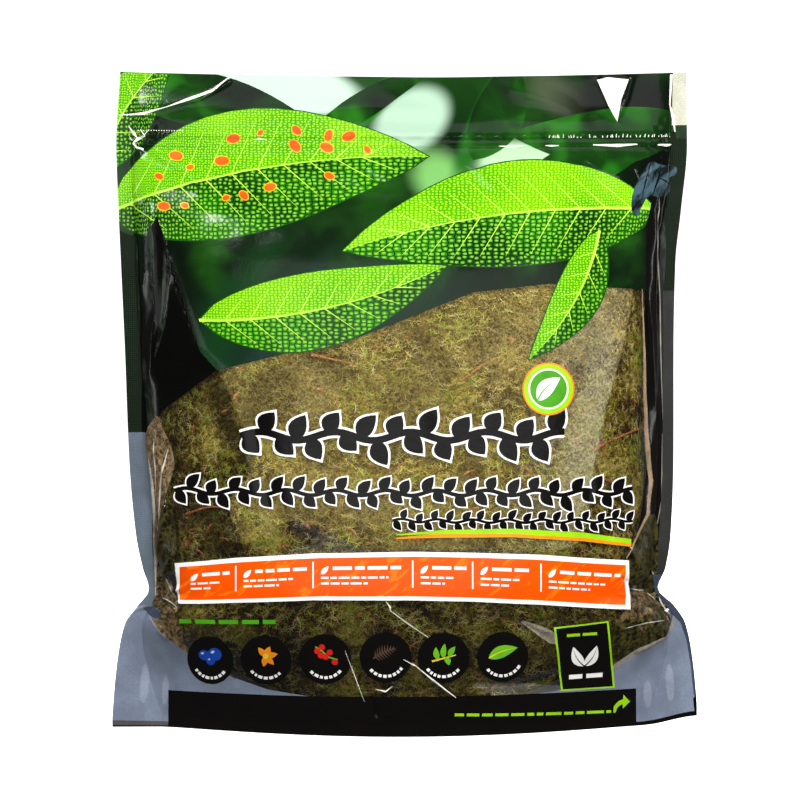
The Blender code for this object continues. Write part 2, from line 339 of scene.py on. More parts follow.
# Route, width and rise of each fold of the film, then whether it is sharp and how soon it fades
FRONT_CREASES = [
    # Long fold where the left flank turns in
    ([(-143, 300), (-133, 262), (-125, 240), (-117, 218), (-107, 207), (-124, 194), (-141, 184)], 3, 1.8),
    ([(-152, 322), (-146, 285), (-143, 240), (-147, 195)], 2.2, 2),
    ([(-138, 300), (-137, 262), (-141, 225)], 2, -1.6),
    # Slack flap above the lower left corner
    ([(-149, 172), (-139, 150), (-136, 135), (-140, 112), (-145, 92)], 1.6, 1.8),
    ([(-146, 165), (-145, 130), (-147, 100)], 1.5, -1.2),
    # Pinch at the left notch
    ([(-149, 82), (-138, 92), (-131, 106)], 1.2, 1.5, SHARP, 0.15),
    ([(-149, 80), (-137, 78), (-127, 84)], 1.1, 1.6, SHARP, 0.15),
    ([(-150, 77), (-140, 68), (-129, 70)], 1.1, 1.6, SHARP, 0.15),
    ([(-152, 72), (-143, 60), (-135, 52)], 1.3, 1.2, SHARP, 0.15),
    ([(-147, 88), (-136, 87), (-130, 76)], 1.4, -1.3, SHARP, 0.15),
    # Pinch at the right notch
    ([(146, 82), (134, 92), (127, 108)], 1.2, 1.5, SHARP, 0.15),
    ([(147, 79), (133, 76), (120, 80)], 1.2, 1.6, SHARP, 0.15),
    ([(149, 75), (136, 64), (122, 58)], 1.3, 1.4, SHARP, 0.15),
    ([(145, 85), (131, 83), (122, 90)], 1.4, -1.4, SHARP, 0.15),
    ([(156, 62), (147, 52), (130, 44)], 1.6, 1.2, SHARP, 0.2),
    # Right flank
    ([(140, 262), (142, 215), (146, 165), (144, 128), (137, 104)], 1.5, 1.4),
    ([(151, 300), (149, 230), (151, 160), (149, 110)], 1.2, 1.1),
    ([(146, 330), (139, 312), (137, 290)], 2, 1.6),
    ([(151, 320), (147, 300), (150, 280)], 1.5, -1.6),
    ([(133, 330), (137, 318), (152, 326)], 1.4, 1.2),
    # Crumpled middle of the foot
    ([(-12, 84), (-10, 76), (-8, 71)], 0.8, 1, SHARP, 0.3),
    ([(-9, 73), (2, 66), (13, 57)], 0.7, 1.1, SHARP, 0.3),
    ([(3, 43), (15, 33), (29, 21)], 0.7, 1, SHARP, 0.3),
    ([(-34, 58), (-26, 36), (-20, 20), (-14, 4)], 2.2, -1.8, SHARP, 0.2),
    ([(-38, 56), (-31, 38), (-25, 22)], 1.2, 0.8, SHARP, 0.2),
    ([(-17, 27), (-12, 26), (-9, 29)], 0.8, 0.7, SHARP, 0.3),
    ([(-16, 12), (-9, 13), (-4, 18)], 0.8, 0.7, SHARP, 0.3),
    ([(52, 71), (70, 62), (88, 50)], 2.6, -1.2, SOFT),
    ([(66, 66), (78, 60), (92, 60)], 1, 0.6),
    ([(30, 30), (60, 28), (96, 36)], 2.4, -1, SOFT),
    # Header above the zip
    ([(-172, 356), (-140, 359), (-118, 366), (-96, 380)], 1.6, 0.9, SHARP, 0.1),
    ([(114, 381), (120, 366), (124, 352)], 2.2, -0.9, SHARP, 0.1),
    ([(134, 381), (130, 366), (124, 352)], 1.6, 0.9, SHARP, 0.1),
    ([(60, 374), (84, 366), (104, 357)], 4, 0.9, SOFT),
    ([(-60, 358), (-20, 362), (30, 357)], 5, -0.8, SOFT),
    # Slanting tucks under the zip, where the film turns out over the moss
    ([(100, 332), (112, 322), (133, 314)], 2.6, 1.2),
    ([(-150, 336), (-128, 322), (-118, 306)], 2.8, 1.4),
    ([(-104, 333), (-92, 322), (-88, 308)], 3.2, 0.9, SOFT),
    ([(30, 334), (44, 324), (52, 310)], 3.2, -0.8, SOFT),
    ([(-30, 334), (-24, 322), (-10, 312)], 3.6, 0.7, SOFT),
    # Long shallow dents across the window
    ([(-92, 205), (-84, 165), (-72, 105)], 5, -0.9, SOFT),
    ([(128, 225), (110, 180), (104, 140), (101, 112)], 4, -0.9, SOFT),
    ([(-60, 118), (0, 112), (70, 118), (120, 112)], 6, -0.8, SOFT),
    ([(-20, 226), (10, 200), (20, 170)], 7, 0.5, SOFT),
]

BACK_CREASES = [
    ([(-150, 320), (-138, 280), (-140, 220), (-146, 180)], 2.6, 1.6),
    ([(150, 310), (140, 262), (143, 210), (147, 160)], 2.4, 1.6),
    ([(-148, 82), (-132, 94), (-120, 118)], 1.4, 1.6, SHARP, 0.15),
    ([(-148, 79), (-132, 74), (-116, 80)], 1.3, 1.5, SHARP, 0.15),
    ([(146, 82), (132, 92), (122, 112)], 1.4, 1.6, SHARP, 0.15),
    ([(147, 78), (130, 72), (114, 76)], 1.3, 1.5, SHARP, 0.15),
    ([(-40, 86), (-20, 60), (-10, 30)], 2, -1.2),
    ([(24, 80), (40, 52), (44, 22)], 1.6, 1),
    ([(-110, 334), (-96, 320), (-92, 302)], 3, 1, SOFT),
    ([(12, 334), (30, 322), (36, 306)], 3, 1, SOFT),
    ([(96, 332), (108, 318), (122, 310)], 2.8, 1.2),
    ([(-60, 250), (0, 236), (70, 246)], 8, -0.8, SOFT),
    ([(-100, 200), (-84, 150), (-88, 110)], 6, -0.9, SOFT),
    ([(110, 210), (92, 160), (100, 116)], 6, 0.8, SOFT),
]
CREASES = {
    FRONT: [Crease(*row) for row in FRONT_CREASES],
    BACK: [Crease(*row) for row in BACK_CREASES],
}


def near_sides(x, z, place, reach):
    """1 at two places that far out to either side and that far up, fading to 0 around them."""
    return np.exp(-(((np.abs(x) - place[0]) / reach[0]) ** 2) - ((z - place[1]) / reach[1]) ** 2)


def film_relief(side, across, x, z):
    """How far the film is pushed out by folds, by the zip under it and by the lumps of moss."""
    seed = WALL_SEEDS[side]
    relief = np.zeros(x.shape)
    for crease in CREASES[side]:
        relief += crease.height(x, z)
    filled = ramp01(z, *FILLED_FROM) * (1 - ramp01(z, *FILLED_TO))
    slack = ramp01(np.abs(across), 70.0, 130.0) + ramp01(z, 230.0, 300.0) + (1 - ramp01(z, 60.0, 110.0))
    # Size of each wave of the film, and its height where the film is taut and where it is slack
    for i, (size, taut, loose) in enumerate(((46.0, 0.45, 0.5), (19.0, 0.07, 0.3), (8.0, 0.02, 0.08))):
        relief += filled * (taut + loose * slack) * soft_noise(x, z, size, seed + i)
    crumple = ramp01(np.abs(across), 96.0, 132.0) * ramp01(z, 20.0, 60.0) * (1 - ramp01(z, 320.0, 345.0))
    relief += crumple * 0.9 * (0.5 - np.abs(soft_noise(x * 1.6, z * 0.6, 12.0, seed + 3)))
    pinched = near_sides(x, z, PINCH, (15.0, 20.0))
    relief += pinched * 1.6 * (0.5 - np.abs(soft_noise(x, z, 8.0, seed + 4)))
    relief += ramp01(z, HEADER_FOOT, HEADER_FOOT + 12.0) * 0.45 * soft_noise(x, z, 24.0, seed + 5)
    inside = 1 - ramp01(np.abs(across), SHEET_HALF - 5.0, SHEET_HALF)
    for ridge, width, rise in ZIP_RIDGES:
        dots = 1.0 + 0.35 * np.sin(2 * math.pi * x / ZIP_DOT_PITCH)
        wander = ridge + 0.5 * soft_noise(x, 0 * x, 40.0, seed + 6)
        relief += inside * rise * dots * np.exp(-(((z - wander) / width) ** 2))
    crushed = near_sides(x, z, ZIP_END, (9.0, 8.0))
    relief += crushed * 1.3 * soft_noise(x, z, 3.2, seed + 7)
    relief *= bpy.context.scene.pouch_film.fold_depth * np.maximum(inside, crushed * 0.6)
    welded = 1 - ramp01(z - seal_height(x / HALF_WIDTH), 0.0, 5.0)
    return relief + welded * (np.maximum(relief, 0.0) - relief)


def header_sway(x, z):
    """How far the free top of both walls waves to and fro together."""
    wave = 1.4 * np.sin(x / 31.0 + 0.6) + 0.8 * np.sin(x / 13.0)
    return ramp01(z, HEADER_FOOT, POUCH_HEIGHT) * wave


def between_seams(across):
    """A place across the sheet as s, from -1 at the left seam to 1 at the right one."""
    return np.sin(math.pi / 2 * np.clip(across / SHEET_HALF, -1.0, 1.0))


def sheet_to_front(across, height):
    """Where a place on the flat sheet lies, seen from the front, and its place s between the seams."""
    shaped = np.maximum(height, FOOT)
    s = between_seams(across)
    half = edge(s, shaped)
    seal = seal_width(shaped)
    beyond = np.maximum(np.abs(across) - SHEET_HALF, 0.0) / SIDE_SEAL
    return s * (half - seal) + np.sign(across) * beyond * seal, s, half


def front_to_sheet(x, height):
    """The place on the flat sheet that is seen at x from the front."""
    shaped = np.maximum(height, FOOT)
    half = edge(x, shaped)
    seal = seal_width(shaped)
    s = np.clip(np.abs(x) / (half - seal), 0.0, 1.0)
    inner = np.arcsin(s) / (math.pi / 2) * SHEET_HALF
    beyond = np.clip((np.abs(x) - (half - seal)) / seal, 0.0, 1.0) * SIDE_SEAL
    return np.sign(x) * (inner + beyond)


def corner_rise(x, height):
    """How far the foot of the right corner is drawn up."""
    return CORNER_RISE * ramp01(x, *RISEN_CORNER) * (1 - ramp01(height, 0.0, RISEN_HEIGHT))


def plain_wall(side, across, height):
    """A film wall without its folds, as rows of x, y, z."""
    shaped = np.maximum(height, FOOT)
    x, s, half = sheet_to_front(across, height)
    y = lean(shaped) + side * (seam_gap(shaped) + wall_depth(s, shaped)) + header_sway(x, height)
    z = height - TOP_DIP * (1.0 - (x / half) ** 2) * (height / POUCH_HEIGHT) ** TOP_DIP_POWER
    return np.stack([x, y, z + corner_rise(x, height)], axis=-1)


def outward_normals(place, side, across, height, step=0.4):
    """The outward normals of a wall, from how its places change across and up the sheet."""
    left = place(side, np.clip(across - step, -SHEET_EDGE, SHEET_EDGE), height)
    right = place(side, np.clip(across + step, -SHEET_EDGE, SHEET_EDGE), height)
    low = place(side, across, np.clip(height - step, 0.0, POUCH_HEIGHT))
    high = place(side, across, np.clip(height + step, 0.0, POUCH_HEIGHT))
    normal = np.cross(right - left, high - low) * -side
    return normal / np.linalg.norm(normal, axis=-1, keepdims=True)


def film_wall(side, across, height):
    """A film wall with its folds, as rows of x, y, z."""
    flat = plain_wall(side, across, height)
    outward = outward_normals(plain_wall, side, across, height)
    relief = film_relief(side, across, flat[..., 0], height)
    return flat + outward * relief[..., None]


def make_object(name, vertices, faces, slots, face_slots=None, smooth=True):
    """A mesh object from arrays of places in millimetres and of corners."""
    mesh = bpy.data.meshes.new(name)
    mesh.from_pydata((np.asarray(vertices) * MM).tolist(), [], [list(map(int, f)) for f in faces])
    for material in slots:
        mesh.materials.append(material)
    if face_slots is not None:
        mesh.polygons.foreach_set("material_index", np.asarray(face_slots, np.int32))
    if smooth:
        mesh.shade_smooth()
    mesh.validate()
    piece = bpy.data.objects.new(name, mesh)
    bpy.context.scene.collection.objects.link(piece)
    return piece


def settle(piece, slot, *nodes):
    """Ties a finished piece to its body and hides the nodes that it stands for; its slot is not used."""
    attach(piece, BODY)
    if nodes:
        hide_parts(*nodes)


def grid_faces(rows, columns):
    """The quads between the places of a grid, row after row."""
    width = columns + 1
    corners = [r * width + c for r in range(rows) for c in range(columns)]
    return [(a, a + 1, a + 1 + width, a + width) for a in corners]


def ring(sides):
    """The cosine and the sine of each place around a ring."""
    turns = [2 * math.pi * k / sides for k in range(sides)]
    return [(math.cos(a), math.sin(a)) for a in turns]


def tube_faces(rings, sides, first=0, turn=1):
    """The skin and both ends of a tube, from its rings of places. A turn of -1 faces them the other way."""
    faces = []
    for row in range(rings - 1):
        for k in range(sides):
            a, b = (first + row * sides + n for n in (k, (k + 1) % sides))
            faces.append((a, b, b + sides, a + sides)[::turn])
    end = [first + k for k in range(sides)]
    return faces + [end[::-turn], [(rings - 1) * sides + k for k in end][::turn]]


# Shader maths


def rgba(colour):
    return (*colour, 1.0) if isinstance(colour, tuple) else colour


def add_node(tree, kind, settings=None, sockets=None):
    """A node of a tree, with its settings and then the values or links of its sockets."""
    made = tree.nodes.new(kind)
    for name, value in (settings or {}).items():
        if name == "stops":
            elements = made.color_ramp.elements
            while len(elements) < len(value):
                elements.new(0.5)
            for element, (position, colour) in zip(elements, value):
                element.position = position
                element.color = rgba(colour)
        else:
            setattr(made, name, value)
    for name, value in (sockets or {}).items():
        if isinstance(value, Value):
            value = value.socket
        if isinstance(value, bpy.types.NodeSocket):
            tree.links.new(value, made.inputs[name])
        else:
            made.inputs[name].default_value = value
    return made


class Value:
    """A number socket of a material, for sums written as plain expressions."""

    def __init__(self, paint, socket):
        self.paint = paint
        self.socket = socket

    def maths(self, operation, *terms):
        return self.paint.value("ShaderNodeMath", {"operation": operation}, dict(enumerate(terms)))

    def __add__(self, other):
        return self.maths("ADD", self, other)

    __radd__ = __add__

    def __mul__(self, other):
        return self.maths("MULTIPLY", self, other)

    __rmul__ = __mul__

    def __sub__(self, other):
        return self.maths("SUBTRACT", self, other)

    def __rsub__(self, other):
        return self.maths("SUBTRACT", other, self)

    def at_least(self, other):
        return self.maths("MAXIMUM", self, other)

    def ramp(self, low, high):
        """0 at low, 1 at high, along an S-curve, so that low may be the higher number."""
        sockets = {"Value": self, "From Min": low, "From Max": high}
        if low > high:
            sockets.update({"From Min": high, "From Max": low, "To Min": 1.0, "To Max": 0.0})
        return self.paint.value("ShaderNodeMapRange", {"interpolation_type": "SMOOTHSTEP"}, sockets)


class Paint:
    """A material's node tree, and the few ways in which the finishes below are put together."""

    def __init__(self, name):
        self.material = bpy.data.materials.new(name)
        self.material.use_nodes = True
        self.tree = self.material.node_tree
        self.tree.nodes.clear()
        self.place = self.node("ShaderNodeTexCoord").outputs["Object"]

    def node(self, kind, settings=None, sockets=None):
        return add_node(self.tree, kind, settings, sockets)

    def value(self, kind, settings=None, sockets=None, output=0):
        return Value(self, self.node(kind, settings, sockets).outputs[output])

    def noise(self, size, detail, roughness=0.55, distortion=0.0, place=None):
        """Even noise, with features about that many metres wide."""
        sockets = {"Vector": place or self.place, "Scale": 1.0 / size, "Detail": detail}
        sockets.update({"Roughness": roughness, "Distortion": distortion})
        return self.value("ShaderNodeTexNoise", None, sockets, "Fac")

    def streaks(self, size, squeeze, angle, distortion=0.0):
        """Noise drawn out into streaks, which lie at an angle on the front."""
        return self.noise(size, 3.0, 0.6, distortion, self.stretched((squeeze, 1.0), angle))

    def fibres(self, size):
        """Thin curved lines, as of strands that press on the film."""
        away = self.noise(size, 1.0, 0.5, 1.6) - 0.5
        return away.maths("ABSOLUTE", away).ramp(0.055, 0.005)

    def stretched(self, scale, angle, centre=(0.0, 0.0)):
        """The place on the front, moved to a centre, turned and scaled."""
        sockets = {"Vector": self.place, "Location": (centre[0], 0.0, centre[1])}
        sockets.update({"Rotation": (0.0, -math.radians(angle), 0.0), "Scale": (scale[0], 1.0, scale[1])})
        return self.node("ShaderNodeMapping", {"vector_type": "TEXTURE"}, sockets).outputs[0]

    def soft_oval(self, centre, radii, angle, blur=0.5):
        """1 inside an oval on the front, fading to 0 across its blurred rim."""
        place = self.stretched([r * MM for r in radii], angle, [c * MM for c in centre])
        flat = self.node("ShaderNodeVectorMath", {"operation": "MULTIPLY"}, {0: place, 1: (1.0, 0.0, 1.0)})
        length = self.value("ShaderNodeVectorMath", {"operation": "LENGTH"}, {0: flat.outputs[0]}, "Value")
        return length.ramp(1.0 + blur, 1.0 - blur)

    def colours(self, value, stops):
        """A colour ramp, whose stops are a place and a screen colour each."""
        stops = [(place, rgb(*colour)) for place, colour in stops]
        return self.node("ShaderNodeValToRGB", {"stops": stops}, {"Fac": value}).outputs["Color"]

    def mix(self, share, first, second):
        sockets = {0: share, 6: rgba(first), 7: rgba(second)}
        return self.node("ShaderNodeMix", {"data_type": "RGBA"}, sockets).outputs[2]

    def bump(self, height, strength, distance):
        sockets = {"Height": height, "Strength": strength, "Distance": distance}
        return self.node("ShaderNodeBump", None, sockets).outputs[0]

    def dimples(self, strength):
        """Fine dimples where the film lies on rough moss."""
        return self.bump(self.noise(0.0035, 2.0) + 0.4 * self.noise(0.0011, 1.0), strength, 0.0004)

    def surface(self, colour, roughness, normal=None, **more):
        sockets = {"Base Color": rgba(colour), "Roughness": roughness}
        if normal is not None:
            sockets["Normal"] = normal
        sockets.update({name.replace("_", " "): value for name, value in more.items()})
        return self.node("ShaderNodeBsdfPrincipled", None, sockets).outputs[0]

    def skin(self, colour, roughness, strength=0.12, **more):
        """The gloss of laminate over a colour."""
        return self.surface(colour, roughness, self.dimples(strength), **more)

    def over_clear(self, share, skin, tint=(0.97, 0.97, 0.96)):
        """The finished material, as see-through film that a skin covers for that share."""
        clear = self.node("ShaderNodeBsdfTransparent", None, {"Color": rgba(tint)}).outputs[0]
        return self.finish(self.node("ShaderNodeMixShader", None, {0: share, 1: clear, 2: skin}).outputs[0])

    def finish(self, shader):
        self.node("ShaderNodeOutputMaterial", None, {"Surface": shader})
        return self.material


def clear_film():
    """Bare laminate: see-through, with the gloss of both of its faces."""
    paint = Paint("clear_film")
    normal = paint.dimples(0.16)
    gloss = paint.surface((1.0, 1.0, 1.0), 0.06, normal, Metallic=1.0)
    fresnel = paint.value("ShaderNodeFresnel", None, {"IOR": 1.45, "Normal": normal})
    return paint.over_clear(fresnel * 0.9, gloss, (0.985, 0.985, 0.975))


def hazed_film(name, colour, veil, streaked=0.7, size=0.010):
    """Streaked veil on laminate: whitish crumpled film, painted highlights on folds, painted reflections."""
    paint = Paint(f"{name}_film")
    share = paint.streaks(size, 0.4, -6.0).ramp(0.25, 0.75) * veil * streaked + veil * (1 - streaked / 2)
    return paint.over_clear(share, paint.skin(rgb(*colour), 0.2, 0.14))


def mossy_film(name, dark, light, veil):
    """Crumpled laminate over moss: hardly see-through, and mottled like what lies behind it."""
    paint = Paint(f"{name}_film")
    mottle = paint.noise(0.0022, 4.0, 0.7, 1.0) * 0.7 + paint.streaks(0.009, 0.3, -6.0) * 0.3
    tone = paint.mix(mottle.ramp(0.42, 0.62), rgb(*dark), rgb(*light))
    return paint.over_clear(veil, paint.skin(tone, 0.3, 0.14))


# Centre, radii, slope, blur and strength of the patches where the window's painted haze is strongest
PAINTED_HAZE_PATCHES = [
    ((103, 170), (10, 56), -14, 0.5, 0.14),
    ((80, 226), (38, 18), 20, 0.7, 0.08),
    ((-52, 194), (13, 15), 0, 0.5, 0.08),
    ((-30, 136), (40, 12), -12, 0.6, 0.06),
]


def pressed_film():
    """Film lying on the moss at the window, under a painted haze of reflected light along the strands."""
    paint = Paint("pressed_film")
    tone = paint.mix(paint.soft_oval((100, 180), (26, 80), -14), rgb(208, 186, 116), rgb(206, 196, 158))
    share = paint.noise(0.040, 3.0, 0.6).ramp(0.25, 0.75) * 0.04 + 0.055
    for *patch, strength in PAINTED_HAZE_PATCHES:
        share = share + paint.soft_oval(*patch) * strength
    share = share * (paint.fibres(0.0042).at_least(paint.fibres(0.0030)) * 1.35 + 0.34)
    return paint.over_clear(share, paint.skin(tone, 0.3, 0.14))


def ink(name, colour, variation=0.12, roughness=0.16):
    """A flat printed colour under gloss laminate, with the slight mottle of the print."""
    paint = Paint(f"{name}_ink")
    darker, lighter = (tuple(min(c * (1 + k), 1.0) for c in colour) for k in (-variation, variation))
    tone = paint.mix(paint.noise(0.012, 4.0).ramp(0.3, 0.7), darker, lighter)
    return paint.finish(paint.skin(tone, roughness))


def sheen_ink(name, dark, light, angle):
    """Dark print whose folds catch the light of the room in slanting streaks."""
    paint = Paint(f"{name}_ink")
    streak = paint.streaks(0.013, 0.35, angle, 0.6).ramp(0.38, 0.64)
    return paint.finish(paint.skin(paint.mix(streak, rgb(*dark), rgb(*light)), 0.2))


def banner_ink(colour):
    """Orange print with darker patches and slanting streaks of painted sheen."""
    paint = Paint("banner_ink")
    tone = paint.mix(paint.noise(0.030, 2.0).ramp(0.58, 0.72) * 0.5, colour, rgb(206, 52, 4))
    # Painted sheen: brighter slanting streaks where the film catches the light
    sheen_streak = paint.streaks(0.016, 0.30, -52.0, 0.5)
    tone = paint.mix(sheen_streak.ramp(0.54, 0.66) * 0.8, tone, rgb(252, 120, 8))
    return paint.finish(paint.skin(tone, 0.2, Specular_IOR_Level=0.3))


def cloud_ink(name, size, detail, distortion, stops, patches=(), roughness=0.14):
    """Print of something out of focus: clouds of one colour after another, with soft ovals over them."""
    paint = Paint(f"{name}_ink")
    tone = paint.colours(paint.noise(size, detail, 0.5, distortion), stops)
    for *patch, colour in patches:
        tone = paint.mix(paint.soft_oval(*patch), tone, rgb(*colour))
    return paint.finish(paint.skin(tone, roughness))


FOREST_STOPS = [(0.30, (3, 9, 3)), (0.46, (9, 30, 8)), (0.60, (22, 66, 12)), (0.78, (48, 112, 18))]
SHADOW_STOPS = [(0.30, (5, 20, 4)), (0.52, (14, 56, 8)), (0.72, (34, 112, 14))]
BACK_STOPS = [(0.3, (6, 14, 7)), (0.55, (18, 48, 18)), (0.8, (44, 92, 30))]

# Centre, radii, slope, blur and colour of each soft shape in the printed forest
FOREST_PATCHES = [
    ((-60, 384), (100, 34), -8, 0.5, (16, 62, 10)),
    ((-68, 372), (42, 15), -10, 0.2, (190, 216, 196)),
    ((4, 352), (24, 17), 38, 0.25, (164, 196, 170)),
    ((76, 326), (36, 13), -8, 0.3, (168, 206, 160)),
    ((22, 316), (14, 20), 40, 0.5, (112, 170, 92)),
    ((-18, 362), (44, 6.5), 44, 0.22, (24, 104, 14)),
    ((-60, 347), (60, 7), -20, 0.3, (12, 46, 10)),
    ((52, 360), (46, 9), 62, 0.3, (22, 92, 16)),
    ((92, 366), (20, 10), -30, 0.5, (64, 74, 52)),
    ((128, 360), (34, 24), 0, 0.5, (7, 12, 6)),
    ((-56, 232), (84, 30), 8, 0.5, (16, 40, 26)),
    ((-96, 244), (9, 40), -30, 0.8, (12, 52, 18)),
    ((-70, 236), (5, 34), -34, 0.9, (24, 48, 42)),
    # The two darkest shapes, at the flanks, are painted shade where the walls turn away
    ((-140, 262), (22, 44), 0, 0.5, (4, 14, 4)),
    ((150, 296), (16, 70), 0, 0.5, (5, 8, 5)),
]


def leaf_ink(name, light, dark, glow, bead, contrast):
    """The beaded skin of the printed leaves: small round lights on a darker ground."""
    paint = Paint(f"{name}_ink")
    sheet = paint.node("ShaderNodeUVMap", {"uv_map": "sheet"}).outputs[0]
    beads = {0: sheet, 1: (2 * SHEET_EDGE / bead, POUCH_HEIGHT / bead, 1.0)}
    sheet = paint.node("ShaderNodeVectorMath", {"operation": "MULTIPLY"}, beads).outputs[0]
    middle, rim = (
        paint.value(
            "ShaderNodeTexVoronoi",
            {"voronoi_dimensions": "2D", "feature": feature},
            {"Vector": sheet, "Scale": 1.0, "Randomness": 0.5},
            "Distance",
        )
        for feature in ("F1", "DISTANCE_TO_EDGE")
    )
    ground = paint.mix(paint.noise(0.060, 2.0, 0.5).ramp(0.36, 0.64), dark, light)
    gap = paint.mix(contrast, ground, (0.002, 0.02, 0.002))
    lit = paint.mix(middle.ramp(0.42, 0.08) * 0.8, ground, glow)
    return paint.finish(paint.skin(paint.mix(rim.ramp(0.03, 0.17), gap, lit), 0.15))


def seal_film(name, colour, grid=True, roughness=0.28):
    """Welded film: matter than the rest, with the fine print of the heated bars."""
    paint = Paint(f"{name}_film")
    darker, lighter, deep = (tuple(c * k for c in colour) for k in (0.82, 1.16, 0.6))
    grain = paint.noise(0.0009, 1.0)
    tone = paint.mix(paint.noise(0.020, 4.0).ramp(0.3, 0.7), darker, lighter)
    tone = paint.mix(grain.ramp(0.35, 0.65) * 0.3, tone, deep)
    height = grain * 0.6
    for direction in ("X", "Z") if grid else ():
        wave = {"wave_type": "BANDS", "bands_direction": direction}
        bars = paint.value("ShaderNodeTexWave", wave, {"Vector": paint.place, "Scale": 260.0}, "Fac")
        height = height + bars * 0.5
    return paint.finish(paint.surface(tone, roughness, paint.bump(height, 0.35, 0.0003)))


# Centre, radii, slope and strength of patches of painted shade on moss; below 0 a patch is painted light
SHADE_AND_LIGHT_PATCHES = [
    ((-132, 166), (5, 18), 0, 0.35),
    ((-98, 172), (6, 30), 25, 0.45),
    ((-114, 162), (12, 20), 10, -0.35),
    ((-104, 106), (16, 4), 0, 0.55),
    ((-124, 127), (14, 8), 0, 0.5),
    ((-107, 124), (9, 12), 10, 0.5),
    ((-127, 110), (13, 4.5), 8, -0.6),
    ((-56, 114), (13, 8), 0, -0.35),
    ((-97, 192), (20, 14), 20, 0.45),
    ((-50, 205), (24, 14), 0, 0.30),
    ((4, 198), (22, 16), 0, 0.40),
    ((126, 165), (14, 62), 0, -0.7),
    ((-60, 122), (60, 8), 0, 0.2),
    ((24, 106), (70, 9), 0, 0.34),
    ((-40, 66), (90, 9), 0, -0.4),
]


def shaded_low(paint, tone):
    """Painted shade on the moss, darker at the foot and in patches; painted light in a few patches."""
    height = paint.value("ShaderNodeSeparateXYZ", None, {0: paint.place}, "Z")
    # Painted shade: darker towards the foot, where less light falls, and in random patches
    lump = paint.noise(0.020, 3.0, 0.5).ramp(0.38, 0.56) * 0.55 + 0.45
    light = (height.ramp(0.045, 0.150) * 0.30 + 0.70) * lump
    for *patch, strength in SHADE_AND_LIGHT_PATCHES:
        light = light * (1 - paint.soft_oval(*patch, 0.6) * strength)
    return paint.mix(light, (0.004, 0.002, 0.0), tone)


def moss_ground():
    """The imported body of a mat: brown and olive crumb between the strands."""
    paint = Paint("moss_ground")
    crumb = paint.noise(0.0020, 5.0, 0.72, 1.2)
    tone = paint.colours(
        paint.noise(0.026, 3.0) * 0.4 + crumb * 0.6,
        [(0.36, (20, 11, 3)), (0.47, (66, 46, 14)), (0.54, (150, 128, 44)), (0.64, (240, 224, 120))],
    )
    # The ground carries the painted shade of shaded_low
    return paint.finish(paint.surface(shaded_low(paint, tone), 0.95, paint.bump(crumb, 1.0, 0.002)))


# Tint of a strand, from the darkest to the palest
STRAND_TINTS = [
    (0.22, (46, 28, 8)), (0.36, (132, 106, 32)), (0.46, (218, 202, 76)), (0.58, (252, 240, 116)),
    (0.72, (255, 246, 180)), (0.84, (252, 178, 116)),
]


def moss_strand():
    """Dried strands, each with its own tint, duller and browner in patches."""
    paint = Paint("moss_strand")
    tint = paint.value("ShaderNodeAttribute", {"attribute_name": "tint"}, None, "Fac")
    place = tint * 0.60 + paint.noise(0.032, 2.0, 0.5) * 0.34 + paint.noise(0.0015, 2.0) * 0.10
    tone = paint.colours(place, STRAND_TINTS)
    green = paint.mix(paint.noise(0.020, 2.0).ramp(0.50, 0.62) * 0.55, tone, rgb(158, 190, 40))
    # The strands carry the painted shade of shaded_low
    return paint.finish(paint.surface(shaded_low(paint, green), 0.78))


def bark():
    """Thin reddish twigs with a dry, ringed skin."""
    paint = Paint("twig_bark")
    grain = paint.noise(0.0012, 4.0, 0.6)
    tone = paint.colours(grain, [(0.35, (112, 60, 32)), (0.55, (188, 114, 70)), (0.7, (232, 168, 122))])
    return paint.finish(paint.surface(tone, 0.75, paint.bump(grain, 0.8, 0.0005)))


def zip_plastic():
    """Milky pressed plastic of the zip."""
    paint = Paint("zip_plastic")
    haze = paint.noise(0.006, 3.0)
    tone = paint.mix(haze, rgb(150, 158, 146), rgb(196, 202, 190))
    return paint.finish(paint.surface(tone, 0.34, paint.bump(haze, 0.2, 0.0004)))


# Drawing the print: outlines as seen from the front, in millimetres


class Drawing:
    """Printed shapes from the ground up, each an outline with the name of its ink."""

    def __init__(self, ground):
        self.shapes = []
        self.add(ground, [(-FAR, BELOW), (FAR, BELOW), (FAR, ABOVE), (-FAR, ABOVE)])

    def add(self, ink_name, *outlines):
        self.shapes += [(ink_name, outline) for outline in outlines]

    def draw(self, rows):
        """Adds the rows of a table: an ink, the function that makes the outline, and what it takes."""
        for ink_name, form, *places in rows:
            self.add(ink_name, form(*places))


def spaced(points, step):
    """A closed outline with no gap longer than step between its points."""
    dense = []
    for (ax, az), (bx, bz) in zip(points, points[1:] + points[:1]):
        count = max(1, math.ceil(math.hypot(bx - ax, bz - az) / step))
        dense += [(ax + (bx - ax) * i / count, az + (bz - az) * i / count) for i in range(count)]
    return dense


def oval(centre, radii, angle, count):
    turn = math.radians(angle)
    spots = []
    for cosine, sine in ring(count):
        u, v = radii[0] * cosine, radii[1] * sine
        x = centre[0] + u * math.cos(turn) - v * math.sin(turn)
        spots.append((x, centre[1] + u * math.sin(turn) + v * math.cos(turn)))
    return spots


